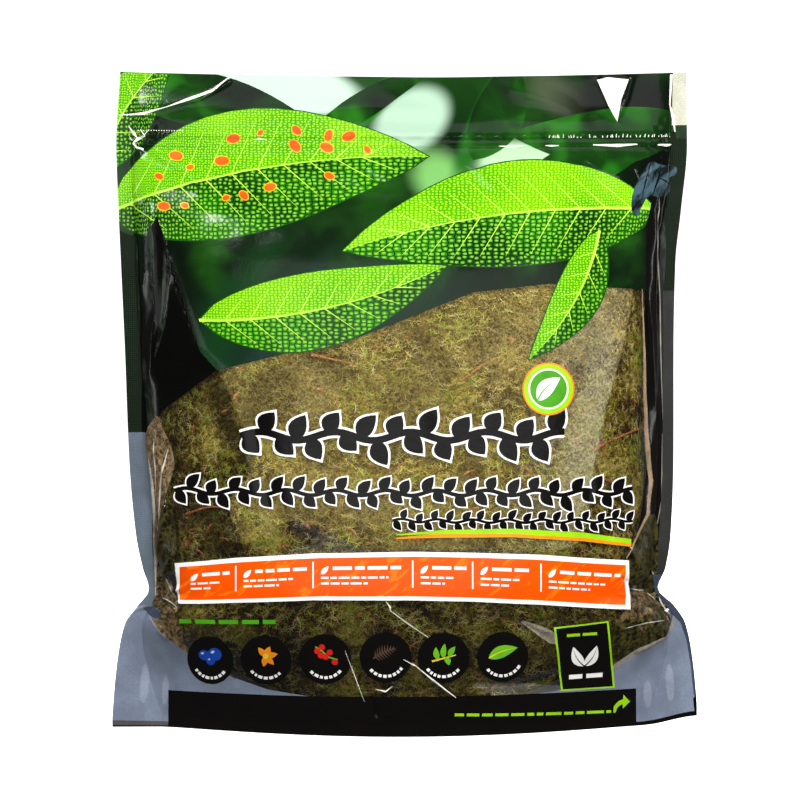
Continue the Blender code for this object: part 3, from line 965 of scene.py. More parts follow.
class Leaf:
    """A printed leaf from its base to its tip, with a bent midrib."""

    def __init__(self, base, tip, width, bend=0.0):
        self.base = np.array(base, float)
        self.line = np.array(tip, float) - self.base
        self.length = float(np.hypot(*self.line))
        self.along = self.line / self.length
        self.aside = np.array([-self.along[1], self.along[0]])
        self.width = width
        self.bend = bend

    def spine(self, u):
        return self.base + self.line * u + self.aside * self.bend * 4 * u * (1 - u)

    def half(self, u):
        rise = math.sin(math.pi * min(max(u, 0.0), 1.0) ** LEAF_BLUNT)
        return self.width / 2 * max(rise, 0.0) ** LEAF_FULL

    def rim(self, u, side, grow=0.0):
        return self.spine(u) + self.aside * side * (self.half(u) + grow)

    def outline(self, grow=0.0, count=8):
        steps = [i / count for i in range(1, count)]
        points = [self.spine(0.0) - self.along * grow]
        points += [self.rim(u, -1, grow) for u in steps]
        points.append(self.spine(1.0) + self.along * grow * 1.5)
        points += [self.rim(u, 1, grow) for u in reversed(steps)]
        return [tuple(p) for p in points]

    def one_side(self, side, count=14):
        steps = [i / count for i in range(count + 1)]
        points = [self.spine(u) for u in steps]
        points += [self.rim(u, side) for u in reversed(steps[1:-1])]
        return [tuple(p) for p in points][::-side]

    def vein(self, u, side, reach, width):
        start = self.spine(u)
        end = self.spine(u + 0.10) + self.aside * side * self.half(u + 0.10) * reach
        return ribbon([start, end], [width, 0.15])

    def midrib(self, width):
        steps = [i / 12 for i in range(13)]
        near = [self.spine(u) - self.aside * width / 2 * (1.05 - u) for u in steps]
        far = [self.spine(u) + self.aside * width / 2 * (1.05 - u) for u in reversed(steps)]
        return [tuple(p) for p in near + far]

    def inside(self, u, share):
        """A place at a share of the way from the midrib to the rim."""
        return tuple(self.spine(u) + self.aside * self.half(u) * share)

    def slope(self):
        return math.degrees(math.atan2(self.along[1], self.along[0]))


def sliver(*place):
    """A fold that narrows to both ends: base, tip, width and bend."""
    return Leaf(*place).outline(count=10)


def ribbon(points, widths):
    """A stroke along points, as wide at each as widths says."""
    points = np.array(points, float)
    along = np.gradient(points, axis=0)
    along /= np.hypot(along[:, 0], along[:, 1])[:, None]
    aside = np.stack([-along[:, 1], along[:, 0]], axis=1) * np.array(widths, float)[:, None] / 2
    return [tuple(p) for p in points - aside] + [tuple(p) for p in (points + aside)[::-1]]


def flat(*points):
    return list(points)


def stroke(*places):
    """A ribbon through places, each with its width as a third number."""
    return ribbon([place[:2] for place in places], [place[2] for place in places])


def rounded(*points):
    """A closed outline whose corners are cut back."""
    cut = []
    for (ax, az), (bx, bz) in zip(points, points[1:] + points[:1]):
        cut.append((0.75 * ax + 0.25 * bx, 0.75 * az + 0.25 * bz))
        cut.append((0.25 * ax + 0.75 * bx, 0.25 * az + 0.75 * bz))
    return cut


def print_facets(page, centre, radii, seed, inks):
    """Slivers of crumpled film, each as milky or as clear as it lies to the light."""
    draw = random.Random(seed)
    for _ in range(FACETS):
        around, out = draw.uniform(0.0, 2 * math.pi), math.sqrt(draw.random())
        x = centre[0] + radii[0] * out * math.cos(around)
        z = centre[1] + radii[1] * out * math.sin(around)
        turn, size = draw.uniform(0.0, math.pi), draw.uniform(2.0, 5.5)
        reaches = (1.0, draw.uniform(0.3, 0.7), draw.uniform(0.3, 0.7))
        corners = []
        for a, reach in zip((turn, turn + 2.2, turn + 4.0), reaches):
            corners.append((x + size * reach * math.cos(a), z + size * reach * math.sin(a)))
        page.add(draw.choice(inks), corners)


def word_bars(start, end, height, seed):
    """A row of plain bars of uneven length."""
    draw = random.Random(seed)
    start, end = np.array(start, float), np.array(end, float)
    length = float(np.hypot(*(end - start)))
    along = (end - start) / length
    up = np.array([-along[1], along[0]]) * height / 2
    bars = []
    reached = 0.0
    while reached < length - height:
        size = min(draw.uniform(2.2, 6.0) * height, length - reached)
        a, b = start + along * reached, start + along * (reached + size)
        bars.append([tuple(a - up), tuple(b - up), tuple(b + up), tuple(a + up)])
        reached += size + height * 0.9
    return bars


def print_vine(page, start, end, wave, leaf_length, leaf_width, pitch, stem, margin, seed):
    """A running sprig in black with a white margin: one stem with leaves to both sides."""
    (ax, az), (bx, bz) = start, end
    count = int((bx - ax) / pitch)

    def middle(u):
        return (ax + (bx - ax) * u, az + (bz - az) * u + wave * math.sin(u * count * 1.35))

    steps = [i / (count * 3) for i in range(count * 3 + 1)]
    for ink_name, grow in (("white", margin), ("black", 0.0)):
        draw = random.Random(seed)
        page.add(ink_name, ribbon([middle(u) for u in steps], [stem + 2 * grow] * len(steps)))
        for i in range(count):
            side = 1 if i % 2 else -1
            angle = math.radians(draw.uniform(48, 66)) * side
            length = leaf_length * draw.uniform(0.85, 1.1)
            base = middle((i + 0.25) / count)
            tip = (base[0] + length * math.cos(angle), base[1] + length * math.sin(angle))
            page.add(ink_name, Leaf(base, tip, leaf_width, 0.06 * length * side).outline(grow))


# Base, tip, width and bend, and of the lit leaves whether they are spotted
SHADOW_LEAVES = [
    ((-176, 372), (-34, 334), 34, 9),
    ((-66, 330), (26, 392), 17, 4),
    ((40, 330), (64, 396), 30, -5),
    ((168, 352), (60, 346), 34, 6),
    ((60, 300), (150, 340), 30, 6),
]
PRINTED_LEAVES = [
    ((-178, 322), (-136, 392), 36, 6, False),
    ((-118, 236), (24, 268), 44, -9, False),
    ((-174, 298), (14, 332), 74, 10, True),
    ((146, 300), (-36, 276), 62, -9, False),
    ((112, 288), (70, 214), 27, 7, False),
]


def print_leaf(page, leaf, spotted, seed):
    """A lime leaf in two tones, with its midrib, its veins and, on some, orange ovals."""
    draw = random.Random(seed)
    upper = 1 if leaf.along[0] > 0 else -1
    page.add("leaf_rim", leaf.outline(0.6, 20))
    page.add("leaf_light", leaf.one_side(upper))
    page.add("leaf_deep", leaf.one_side(-upper))
    count = max(6, int(leaf.length / 16))
    for i in range(1, count):
        page.add("leaf_vein", *(leaf.vein(0.88 * i / count, side, 0.8, 0.7) for side in (-1, 1)))
    page.add("leaf_vein", leaf.midrib(1.7))
    if not spotted:
        return
    for i in range(1, 9):
        for side, reach in ((upper, 0.62), (upper, 0.26), (-upper, 0.34)):
            if draw.random() < 0.2:
                continue
            u = 0.80 * (i + draw.uniform(0.1, 0.7)) / 9 + 0.05
            spot = leaf.inside(u, side * (reach + draw.uniform(-0.08, 0.08)))
            size = draw.uniform(1.2, 2.7)
            angle = leaf.slope() + draw.uniform(-70, 70)
            page.add("spot_rim", oval(spot, (size * 1.5 + 0.6, size + 0.6), angle, 16))
            page.add("spot", oval(spot, (size * 1.5, size), angle, 16))


WINDOW_EDGE = [
    (-148, 171), (-140, 184), (-107.5, 207.6), (-70, 217), (-31, 225),
    (0, 237), (38, 252), (82, 257), (132.5, 254), (139.7, 253),
]
BANNER_TOP = [
    (-131.9, 97.5), (-96.6, 101.8), (-52.9, 104.8), (3.2, 105.8), (37, 105.1), (75.9, 103.6), (127.5, 98.8),
]
BANNER_FOOT = [
    (-129.6, 74.2), (-96.6, 76.5), (-53, 78.7), (2.9, 78.7), (36.7, 77.8), (75.6, 75.5), (128.5, 70.7),
]
BANNER_RULES = [-96.6, -52.9, 3.2, 37.0, 75.9]
DISCS = [(-112, 41.9), (-79.8, 43.6), (-46.2, 44.8), (-12.1, 46), (20.6, 45.7), (54.2, 45.7)]
DISC_RADIUS = 14.6
SIZE_BOX = [(88.6, 24), (120.8, 24), (115.5, 64.6), (83.3, 62.2)]
STRIP_TOP = [(-137.2, 22), (-90, 22.6), (-4.6, 23.1), (74, 23.3), (133.8, 22.5)]
LEFT_ARC = [
    (-147.6, 68), (-145, 64.6), (-141.5, 60.5), (-133.2, 53.4), (-123.5, 46), (-113.2, 39.5), (-97, 31.6),
    (-79.2, 26), (-50, 22),
]
RIGHT_ARC = [
    (146, 82), (151, 71), (156.4, 64), (155.6, 57.6), (149.3, 52), (135.3, 46.4), (121, 37), (104, 28.5),
    (84, 24), (60, 22),
]
SWOOSH = [(-6, 115.2), (20, 116.8), (60, 117), (100, 114.2), (129, 109.6)]


def along_banner(x, share):
    """A place at a share of the way from the banner's foot to its top."""
    foot, top = (np.interp(x, *zip(*line)) for line in (BANNER_FOOT, BANNER_TOP))
    return (x, float(foot + (top - foot) * share))


def print_banner(page):
    """The orange band with its white border, rules, small leaf marks and plain bars."""
    page.add("white", BANNER_FOOT + BANNER_TOP[::-1])
    columns = np.linspace(-129.0, 125.6, 20)
    upper = [along_banner(x, 0.90) for x in columns[::-1]]
    page.add("banner", [along_banner(x, 0.085) for x in columns] + upper)
    for x in BANNER_RULES:
        page.add("white", ribbon([along_banner(x, 0.26), along_banner(x, 0.82)], [0.8, 0.8]))
    for i, (start, end) in enumerate(zip([-127.0, *BANNER_RULES], [*BANNER_RULES, 126.0])):
        left, right = start + 4.5, end - 3.5
        base = along_banner(left, 0.64)
        page.add("white", Leaf((left, base[1] - 2.2), (left + 4.2, base[1] + 2.2), 2.8).outline())
        rows = ((0.68, 1.9, left + 6.5), (0.48, 1.1, left), (0.36, 1.1, left))
        for j, (share, height, x) in enumerate(rows):
            first, last = (along_banner(place, share) for place in (x, right - (end - start) * 0.18 * j))
            page.add("white", *word_bars(first, last, height, 31 * i + j))


def print_discs(page):
    """Six black discs, each with a small plant motif and a curved row of white dashes."""
    motifs = (berries, blossom, berry_twig, seed_head, sprig, leaf_motif)
    for i, ((x, z), motif) in enumerate(zip(DISCS, motifs)):
        squeeze = 0.92 if i == 0 else 1.0
        page.add("black", oval((x, z), (DISC_RADIUS * squeeze, DISC_RADIUS), 0.0, 40))
        draw = random.Random(70 + i)
        reach = draw.uniform(48, 58)
        angle = -reach
        while angle < reach:
            size = draw.uniform(7.0, 13.0)
            turns = [math.radians(270 + angle + k * size / 3) for k in range(4)]
            dash = [(x + 10.9 * squeeze * math.cos(a), z + 10.9 * math.sin(a)) for a in turns]
            page.add("white", ribbon(dash, [1.7] * 4))
            angle += size + 4.5
        motif(page, x, z + 2.4)


def berries(page, x, z):
    for dx, dz, r in ((-3.4, 0.6, 3.2), (2.8, 1.4, 4.0), (0.2, -2.8, 2.6)):
        page.add("blue", oval((x + dx, z + dz), (r, r), 0.0, 18))
        page.add("pale_blue", oval((x + dx - r * 0.3, z + dz + r * 0.35), (r * 0.3, r * 0.2), 30.0, 10))


def blossom(page, x, z):
    for angle in (-150, -100, -35, 20, 75):
        a = math.radians(angle + 50)
        page.add("orange", Leaf((x, z), (x + 7.2 * math.cos(a), z + 6.4 * math.sin(a)), 3.6).outline())
    page.add("yellow", oval((x, z), (1.7, 1.7), 0.0, 14))


def berry_twig(page, x, z):
    twig = ((-5.5, 5.0), (-1.5, 2.2), (2.0, -1.2), (7.0, -2.6))
    page.add("green", stroke(*((x + dx, z + dz, 0.8) for dx, dz in twig)))
    for dx, dz in ((-4.4, 2.4), (-1.8, 4.6), (0.2, -1.0), (2.6, 1.6), (5.4, -4.0), (-2.4, -0.2)):
        page.add("red", oval((x + dx, z + dz), (1.8, 1.8), 0.0, 14))


def seed_head(page, x, z):
    spine = Leaf((x - 7, z - 3), (x + 7, z + 3.4), 8.0, 1.0)
    page.add("brown", spine.midrib(0.9))
    page.add("brown", *(spine.vein(k / 10, side, 1.0, 1.1) for k in range(1, 9) for side in (-1, 1)))


def sprig(page, x, z):
    leaves = ((-3, -3.2, -4.4, 4.0), (0, -2.4, 0.8, 6.0), (3, -1.8, 6.6, 4.4), (1, -2, 3.2, -6.6))
    page.add("yellow", stroke((x - 6.5, z - 4.2, 1.1), (x + 7.0, z - 0.6, 0.7)))
    for dx, dz, tx, tz in leaves:
        page.add("green", Leaf((x + dx, z + dz), (x + tx, z + tz), 3.4, 0.5).outline())


def leaf_motif(page, x, z):
    leaf = Leaf((x - 8.0, z - 2.6), (x + 8.4, z + 3.2), 7.0, 1.0)
    page.add("green", leaf.outline(0.0, 14))
    page.add("yellow", leaf.midrib(0.7))


def print_size_box(page):
    """A black box with a lime border, a white leaf and plain bars."""
    page.add("lime", SIZE_BOX)
    centre = np.mean(np.array(SIZE_BOX), axis=0)
    page.add("black", [tuple(centre + (np.array(p) - centre) * (0.93, 0.955)) for p in SIZE_BOX])
    x, z = centre
    page.add("lime", *word_bars((x - 11, z + 13.4), (x + 10, z + 13.8), 1.7, 5))
    for side in (-1, 1):
        leaf = Leaf((x, z - 5.5), (x + side * 7.0, z + 6.5), 6.4, -1.5 * side)
        page.add("white", leaf.outline(0.0, 10))
        page.add("black", leaf.midrib(0.8))
    page.add("white", *word_bars((x - 9, z - 11.6), (x + 11, z - 11.4), 2.6, 8))


def print_foot_strip(page):
    """The black strip at the foot, with a row of lime dashes and a plain arrow."""
    page.add("black", STRIP_TOP + [(134.7, -1), (60, -1), (-60, -1), (-137.6, -1)])
    page.add("lime", *word_bars((27.3, 12.4), (119, 9.6), 1.7, 3))
    page.add("lime", stroke((121, 8.6, 1.2), (121.6, 12, 2.4), (124, 14.4, 2.8), (126.4, 15, 3)))
    page.add("lime", [(126.2, 19.2), (130.4, 14.8), (126, 10.8)])


# Ink, form and places of the dark flanks, the seams, and the film that lies creased on the moss at the left
DARK_SIDES = [
    # Painted shade: the left flank, where the wall turns away, as a black sheet of ink
    ("pitch", flat, (-143, 296), (-134, 270), (-125, 243), (-117, 218), (-107.5, 207.6), (-140, 184),
     (-148, 171), (-152.6, 171), (-153, 230), (-150, 280)),
    # Painted shade on the right flank, where the wall turns away
    ("black", flat, (146, 318), (139.7, 292), (139.7, 150), (133, 110), (126, 98), (144, 84), (FAR, 84),
     (FAR, 318)),
    # Painted highlights along the folds of the right flank
    ("fold_grey", stroke, (148.4, 308, 0.2), (147.2, 284, 0.8), (148.8, 249, 0.6), (149, 219, 0.8),
     (150, 178, 0.2)),
    ("fold_grey", stroke, (149.6, 170, 0.2), (149.2, 131, 0.7), (143.7, 102, 0.2)),
    ("seam_dark", flat, (-152.6, 171), (-153.6, 262), (-156, 284), (-FAR, 292), (-FAR, 171)),
    ("seam_blue", flat, (-149.4, 171), (-148, 152.7), (-146.8, 132.6), (-146.6, 109.2), (-146, 93),
     (-145.2, 76), (-147, 66), (-FAR, 60), (-FAR, 171)),
    ("seam_slate", flat, (150.6, 253), (149.8, 150), (147.6, 110), (141, 80), (FAR, 80), (FAR, 253)),
    ("seam_dark", flat, (156, 342), (151.6, 300), (150.6, 253), (FAR, 253), (FAR, 342)),
    # Painted highlight on the seam at the top right corner
    ("seam_pale", flat, (157.6, 384), (156.6, 350), (FAR, 350), (FAR, 384)),
    ("sheen_blue", rounded, (130.5, 299), (132, 310.3), (138, 322), (144.2, 329.5), (149.5, 326),
     (159, 326.5), (159.5, 321), (152.5, 318.6), (156.5, 312.6), (150.4, 307), (141, 308.5), (137, 302),
     (134, 295)),
    # Painted shade in the folds of the crumple's painted reflection
    ("black", stroke, (144, 329, 0.3), (141, 320, 1.1), (137.4, 308, 0.3)),
    ("black", stroke, (149.5, 326.5, 0.3), (147.6, 318, 1.3), (144, 308.6, 0.4)),
    ("black", stroke, (147.6, 319, 0.3), (152, 316.6, 0.9), (156, 313, 0.3)),
    ("sheen_dark", sliver, (-146, 292), (-142, 232), 6, -2.5),
    ("sheen_dark", sliver, (-139, 276), (-143.5, 214), 4, 3),
    ("sheen_dark", sliver, (-150, 214), (-147, 168), 6, 1.5),
    ("sheen_dark", sliver, (149, 306), (151, 256), 3, 1),
    # Painted shade in the hollow beside the left flap
    ("dusk", rounded, (-142.4, 121.5), (-137.1, 131.5), (-131.3, 126.4), (-130.2, 95.8), (-136.1, 90),
     (-143.7, 94.2)),
    ("flap", rounded, (-149.2, 172.7), (-145.5, 178.5), (-141.4, 182), (-139, 174), (-135.5, 167.2),
     (-132.6, 158.7), (-132.2, 151.4), (-134.8, 143.4), (-137.1, 133.1), (-140.7, 124.4), (-142.2, 112.9),
     (-143.2, 93), (-145.4, 93), (-146.3, 109.2), (-146.8, 130), (-147.3, 147), (-149.6, 158.2)),
    ("umber", rounded, (-145.4, 94.2), (-138.7, 92.3), (-133.7, 84.1), (-130.5, 77.1), (-129, 71.3),
     (-132.3, 67.9), (-136, 67.1), (-140.6, 70.6), (-145, 75.2), (-145.6, 85.3)),
    ("flap", rounded, (-144.8, 73), (-139, 76), (-131.4, 73), (-129.2, 71), (-132.3, 67.9), (-136, 66.6),
     (-141, 69)),
]

# The folds of the left pinch, and the ground of the right one
LEFT_FOLDS = [
    ("hazed", stroke, (-144, 126, 0.4), (-144.8, 112, 2), (-144.9, 96, 2.2), (-144.7, 76, 0.8)),
    # Painted shade in the hollow of the left pinch
    ("dusk", flat, (-143.7, 74.3), (-138.9, 76.8), (-131.1, 72.4), (-133.6, 71.2), (-139.4, 72.8)),
    # Painted highlights along the folds of the left pinch
    ("bright_fold", sliver, (-148.4, 158), (-145.6, 100), 1.6, 1),
    ("bright_fold", sliver, (-135.6, 164), (-141, 118), 1.1, -2),
    ("bright_fold", sliver, (-144, 168), (-145, 128), 1, 0.6),
    ("bright_fold", sliver, (-145.2, 112), (-145, 74.6), 1.2, 0.4),
    ("bright_fold", sliver, (-145, 74.8), (-129.2, 71), 0.6, 2.4),
    ("bright_fold", sliver, (-144, 92), (-131, 76), 0.5, 1.4),
    # Painted shade in the hollows of the right pinch
    ("dusk", rounded, (131.4, 109.7), (140.2, 125.2), (147, 122), (147.5, 100), (146, 86), (143.5, 76.6),
     (138.6, 75.6), (128.7, 84.5), (125.4, 100.6)),
    ("dusk", rounded, (116.7, 62.8), (131.1, 65.4), (147, 70), (153, 65.6), (155.2, 60), (149.3, 52),
     (135.3, 46.4), (121, 37.6), (113, 46)),
    ("umber", rounded, (128.6, 81.9), (137, 80), (144.5, 73), (148.6, 67.6), (131.3, 65.6), (116.7, 62.4),
     (127.6, 72)),
]

# The folds and painted highlights of the right pinch, painted reflections on the foot, and the welded corners
RIGHT_FOLDS = [
    ("flap", rounded, (150, 66), (154, 62.6), (154.4, 57), (151.6, 54.4), (152, 60)),
    # Painted highlights along the folds of the right pinch
    ("bright_fold", sliver, (147.4, 76), (154.6, 64.6), 1, -1),
    ("bright_fold", sliver, (129, 82), (147, 72), 0.8, 1.6),
    ("bright_fold", sliver, (143.5, 90), (148, 78), 1.2, 0.6),
    ("bright_fold", sliver, (125, 60), (150, 62), 0.7, 1.2),
    ("brown_fold", stroke, (137, 254, 0.5), (137.4, 219, 1.2), (138.2, 190, 2), (139.8, 165, 2.8),
     (141.6, 143, 2.6), (139.4, 124, 1.8), (131.6, 110, 1.2), (126, 100, 0.6)),
    # Painted reflections on the foot: a hazy patch by the discs and a sheen on the black strip
    ("hazed", rounded, (61, 68.2), (80, 62), (88, 56), (84, 51), (74, 58)),
    ("veiled", rounded, (32, 32), (66, 29.6), (104, 26), (80, 18), (46, 13), (52, 22)),
    ("umber", rounded, (-145.6, 78), (-133, 70), (-127, 62), (-127, 50), (-134, 53), (-141.5, 60),
     (-147, 67)),
    ("corner_blue", flat, *LEFT_ARC, (-50, BELOW), (-FAR, BELOW), (-FAR, 64.5)),
    ("corner_blue", flat, *RIGHT_ARC, (60, BELOW), (FAR, BELOW), (FAR, 82)),
    ("rim_blue", rounded, (-152.9, 69.3), (-148, 70.2), (-140, 70), (-139.2, 67), (-142, 64),
     (-148.3, 66.2)),
    ("weld", stroke, (-161, 65.4, 0.5), (-156.3, 68.9, 1.8), (-150.6, 70.8, 0.5)),
    ("flap", ribbon, LEFT_ARC[1:7], [0.8, 2.4, 3.2, 3.0, 2.2, 0.8]),
    ("hazed", ribbon, RIGHT_ARC[2:8], [0.8, 2.4, 3.4, 3.8, 3.2, 1.2]),
    ("rim_blue", flat, (144, 88), (145.6, 78), (151, 70.8), (157.2, 63), (160.2, 60), (163.8, 50),
     (166.4, 34.9), (168.3, 14.4), (FAR, 14.4), (FAR, 88)),
    ("weld", oval, (-151.2, 25.6), (2.6, 11.5), -5, 24),
    ("weld", oval, (-139, 21.9), (2, 8.6), -4, 24),
    ("weld", oval, (141, 18.4), (2.6, 8.2), 4, 24),
    ("weld", oval, (154.3, 23.9), (2.4, 11.8), 3, 24),
    ("edge_grey", flat, (-FAR, 4), (-137, 3.2), (-137, BELOW), (-FAR, BELOW)),
    ("black", flat, (-FAR, 1), (-137, 0.8), (-137, BELOW), (-FAR, BELOW)),
    ("black", flat, (134, 2.2), (168.6, 3), (167.8, 12), (FAR, 30), (FAR, BELOW), (134, BELOW)),
]


def print_front():
    """Everything printed on the front wall, from the ground up."""
    page = Drawing("clear")
    # Painted haze: a veil of painted reflection over the window, where the film lies on the moss
    page.add("pressed", rounded(
        (-107, 207.6), (-100.7, 194.5), (-96.1, 183.2), (-90.5, 167.4), (-87.1, 152.8), (-92.1, 142.1),
        (-102.8, 133.6), (-98.3, 123.5), (-92.1, 108.5), (-81.4, 115.3), (-74.1, 120.9), (-60.1, 123.7),
        (-50.6, 119.3), (-38.3, 114.8), (-30.5, 108.7), (-14.8, 106.4), (20, 108), (60, 106), (98, 106),
        (104, 124), (106, 146), (112, 176), (119, 200), (126, 224), (134, 266), (40, 266), (-60, 244),
    ))
    page.add("forest", WINDOW_EDGE + [(FAR, 253), (FAR, ABOVE), (-FAR, ABOVE), (-FAR, 171)])
    page.add("shadow_leaf", *(Leaf(*place).outline(0.0, 20) for place in SHADOW_LEAVES))
    for i, (*place, spotted) in enumerate(PRINTED_LEAVES):
        print_leaf(page, Leaf(*place), spotted, 12 + i)
    page.draw(DARK_SIDES)
    print_facets(page, (-138.0, 82.0), (5.5, 8.0), 3, ("umber", "flap", "dusk", "flap"))
    page.draw(LEFT_FOLDS)
    print_facets(page, (141.0, 66.0), (8.0, 11.0), 5, ("umber", "dusk", "umber", "flap"))
    page.draw(RIGHT_FOLDS)
    print_vine(page, (-94, 170.6), (90, 170.4), 2.4, 15.0, 10.4, 9.0, 4.0, 1.4, 4)
    print_vine(page, (-132, 139), (130, 138.2), 1.5, 10.0, 6.4, 6.0, 2.3, 0.9, 9)
    print_vine(page, (-8, 123.2), (130, 121.8), 0.9, 6.6, 4.2, 4.2, 1.5, 0.6, 17)
    page.add("orange", ribbon([(x, z - 1.9) for x, z in SWOOSH], [0.6, 2.6, 3.0, 3.0, 2.4]))
    page.add("lime", ribbon(SWOOSH, [0.6, 2.2, 2.8, 3.0, 2.6]))
    print_banner(page)
    page.add("lime_deep", *word_bars((-129, 64.6), (-72.5, 66.2), 2.4, 21))
    print_discs(page)
    print_foot_strip(page)
    print_size_box(page)
    print_badge(page)
    print_glints(page)
    return page.shapes


def print_badge(page):
    """A small round mark: two rings and a leaf."""
    x, z = 81.0, 197.0
    rings = (("orange", 15.0, 40), ("lime", 14.0, 40), ("white", 11.6, 36), ("lime_deep", 10.6, 36))
    for ink_name, radius, count in rings:
        page.add(ink_name, oval((x, z), (radius, radius), 0.0, count))
    leaf = Leaf((x - 6.4, z - 6.4), (x + 6.8, z + 6.4), 9.0, 1.6)
    page.add("white", leaf.outline(0.0, 14))
    page.add("lime_deep", leaf.midrib(0.9))


# Places and widths of painted glints along the lines where the film was folded hard
GLINT_LINES = [
    ((-167, 355.4, 0.3), (-152, 356.4, 1.5), (-139, 360.4, 0.4)),
    ((-139, 360.4, 0.5), (-126, 365.6, 1.8), (-112, 371, 1.6), (-102, 379.6, 0.5)),
    ((-12, 78.4, 0.2), (-9.5, 75, 1), (-9.4, 72.4, 0.3)),
    ((-10, 73.4, 0.2), (0, 66, 1), (12, 57.6, 0.3)),
    ((3.4, 42.6, 0.3), (14, 33.6, 1.1), (28, 22.4, 0.3)),
    ((-2, 45, 0.2), (4.4, 41.4, 0.8)),
    ((-35, 50, 0.1), (-29, 34, 0.3), (-24, 20, 0.1)),
    ((-18, 27.6, 0.2), (-12, 26.4, 0.9), (-8, 29.4, 0.2)),
    ((156.6, 380, 1.6), (155.6, 362, 0.8), (157.6, 354, 1.8), (158.4, 346, 0.6)),
    ((110, 338.6, 0.6), (124, 338.2, 1.9), (136, 338.8, 0.7)),
    ((55, 338.2, 0.4), (62, 337.8, 1.4), (70, 338.4, 0.5)),
    ((82, 338.4, 0.4), (86, 338.2, 1), (90, 338.4, 0.4)),
    ((148, 338.4, 0.6), (153, 338, 1.6), (157, 338.6, 0.6)),
    ((-88, 341.8, 0.3), (-84, 342.2, 0.7), (-80, 341.8, 0.3)),
    ((-161, 349, 0.3), (-157.6, 345, 1.4), (-155, 341, 0.4)),
    ((-158, 338.6, 0.4), (-155.6, 341.6, 1.8), (-151, 343.4, 0.5)),
    ((-160.4, 343, 0.3), (-156, 336.6, 1.2), (-152, 335.4, 1.2)),
    ((-154, 347.2, 0.3), (-151.6, 343.8, 1), (-149.4, 346.4, 0.3)),
]


def print_glints(page):
    """Painted glints on hard folds and on the zip's pressed marks, and a painted reflection on the header."""
    page.add("whitened", *(stroke(*line) for line in GLINT_LINES))
    # Painted reflection on a facet of the header
    page.add("whitened", [
        (112.8, 378), (119, 379.4), (131.4, 377.6), (127, 366), (124.4, 352.4), (119.4, 362),
    ])
    draw = random.Random(5)
    x = 82.0
    while x < 157.0:
        rise, sway = draw.uniform(0.5, 2.1), draw.uniform(-0.5, 0.7)
        if draw.random() < 0.72:
            page.add("whitened", stroke((x, 343.0, draw.uniform(0.4, 0.9)), (x + sway, 343.0 + rise, 0.3)))
        x += draw.uniform(0.9, 2.3)
    page.add("whitened", *(oval((-155.0 + i * 1.5, 346.6), (0.4, 0.35), 0.0, 6) for i in range(18)))


def print_back():
    """A plain layout for the back: a dark ground, a sprig, columns of bars and a pale panel."""
    page = Drawing("back_ground")
    page.add("seam_dark", [(-156, 90), (-158, 384), (-FAR, 384), (-FAR, 90)])
    page.add("seam_dark", [(156, 384), (151, 90), (FAR, 90), (FAR, 384)])
    for i, (base, tip, width, bend, _) in enumerate(PRINTED_LEAVES[2:5]):
        leaf = Leaf((-base[0], base[1] + 6), (-tip[0], tip[1] + 6), width * 0.8, -bend)
        print_leaf(page, leaf, False, 40 + i)
    print_vine(page, (-90, 214), (90, 214), 2.4, 12.0, 6.0, 7.0, 1.8, 1.2, 6)
    page.add("pale_panel", [(-118, 92), (118, 92), (118, 196), (-118, 196)])
    for column, (left, right) in enumerate(((-110.0, -6.0), (6.0, 110.0))):
        for row in range(12):
            z = 187.0 - row * 7.6
            ink_name, height = ("lime_deep", 2.2) if row % 6 == 0 else ("black", 1.5)
            stop = right - (18.0 if row % 6 == 5 else 0.0)
            page.add(ink_name, *word_bars((left, z), (stop, z), height, 100 + 20 * column + row))
    page.add("banner", [(-118, 62), (118, 62), (118, 82), (-118, 82)])
    page.add("white", *word_bars((-108, 72), (108, 72), 2.6, 77))
    for side in (-1, 1):
        arc = [(side * x, float(seal_height(x / HALF_WIDTH)) + 4.0) for x in range(40, 156, 6)]
        page.add("corner_blue", [(side * 40, BELOW), *arc, (side * FAR, 72), (side * FAR, BELOW)])
        page.add("hazed", ribbon(arc[9:], [1.0] + [3.0] * (len(arc) - 11) + [1.0]))
    return page.shapes


# Name and colour, then the variation and the roughness where they aren't the usual ones
PLAIN_INKS = [
    ("leaf_rim", (18, 66, 10)), ("leaf_vein", (178, 224, 70)), ("spot_rim", (232, 170, 30), 0.2),
    # The nearly black ink below is painted shade on the left flank, the grey one painted highlights on folds
    ("black", (10, 8, 7)), ("pitch", (2, 2, 1), 0.12, 0.2), ("white", (244, 242, 236), 0.02),
    ("fold_grey", (132, 128, 118), 0.4), ("lime", (150, 206, 20)), ("lime_deep", (70, 150, 24)),
    ("orange", (238, 140, 24)), ("yellow", (226, 196, 60)), ("green", (104, 176, 32)), ("red", (206, 34, 28)),
    ("blue", (26, 74, 176)), ("pale_blue", (190, 212, 240)), ("brown", (78, 60, 46)),
    ("pale_panel", (208, 212, 176), 0.03),
]
# Name, dark and light colour, and slope of the streaks
SHEEN_INKS = [("sheen_blue", (14, 20, 22), (58, 84, 94), -40), ("sheen_dark", (7, 8, 7), (44, 52, 42), 10)]
# Name, colour and veil, then how streaked it is and the size of the streaks
HAZED_FILMS = [
    # Whitish crumpled film with painted sheen, then a painted reflection on the black strip at the foot
    ("hazed", (176, 166, 152), 0.34, 1.0, 0.006), ("veiled", (150, 145, 134), 0.13),
    # Then the brown fold at the right flank, and painted highlights along the folds of the pinches
    ("brown_fold", (186, 158, 126), 0.42, 1.0, 0.010), ("bright_fold", (238, 230, 216), 0.42, 0.8, 0.004),
    # Last, painted glints on hard creases, on the zip's marks and on the header
    ("whitened", (250, 246, 232), 0.85, 0.4, 0.004),
]
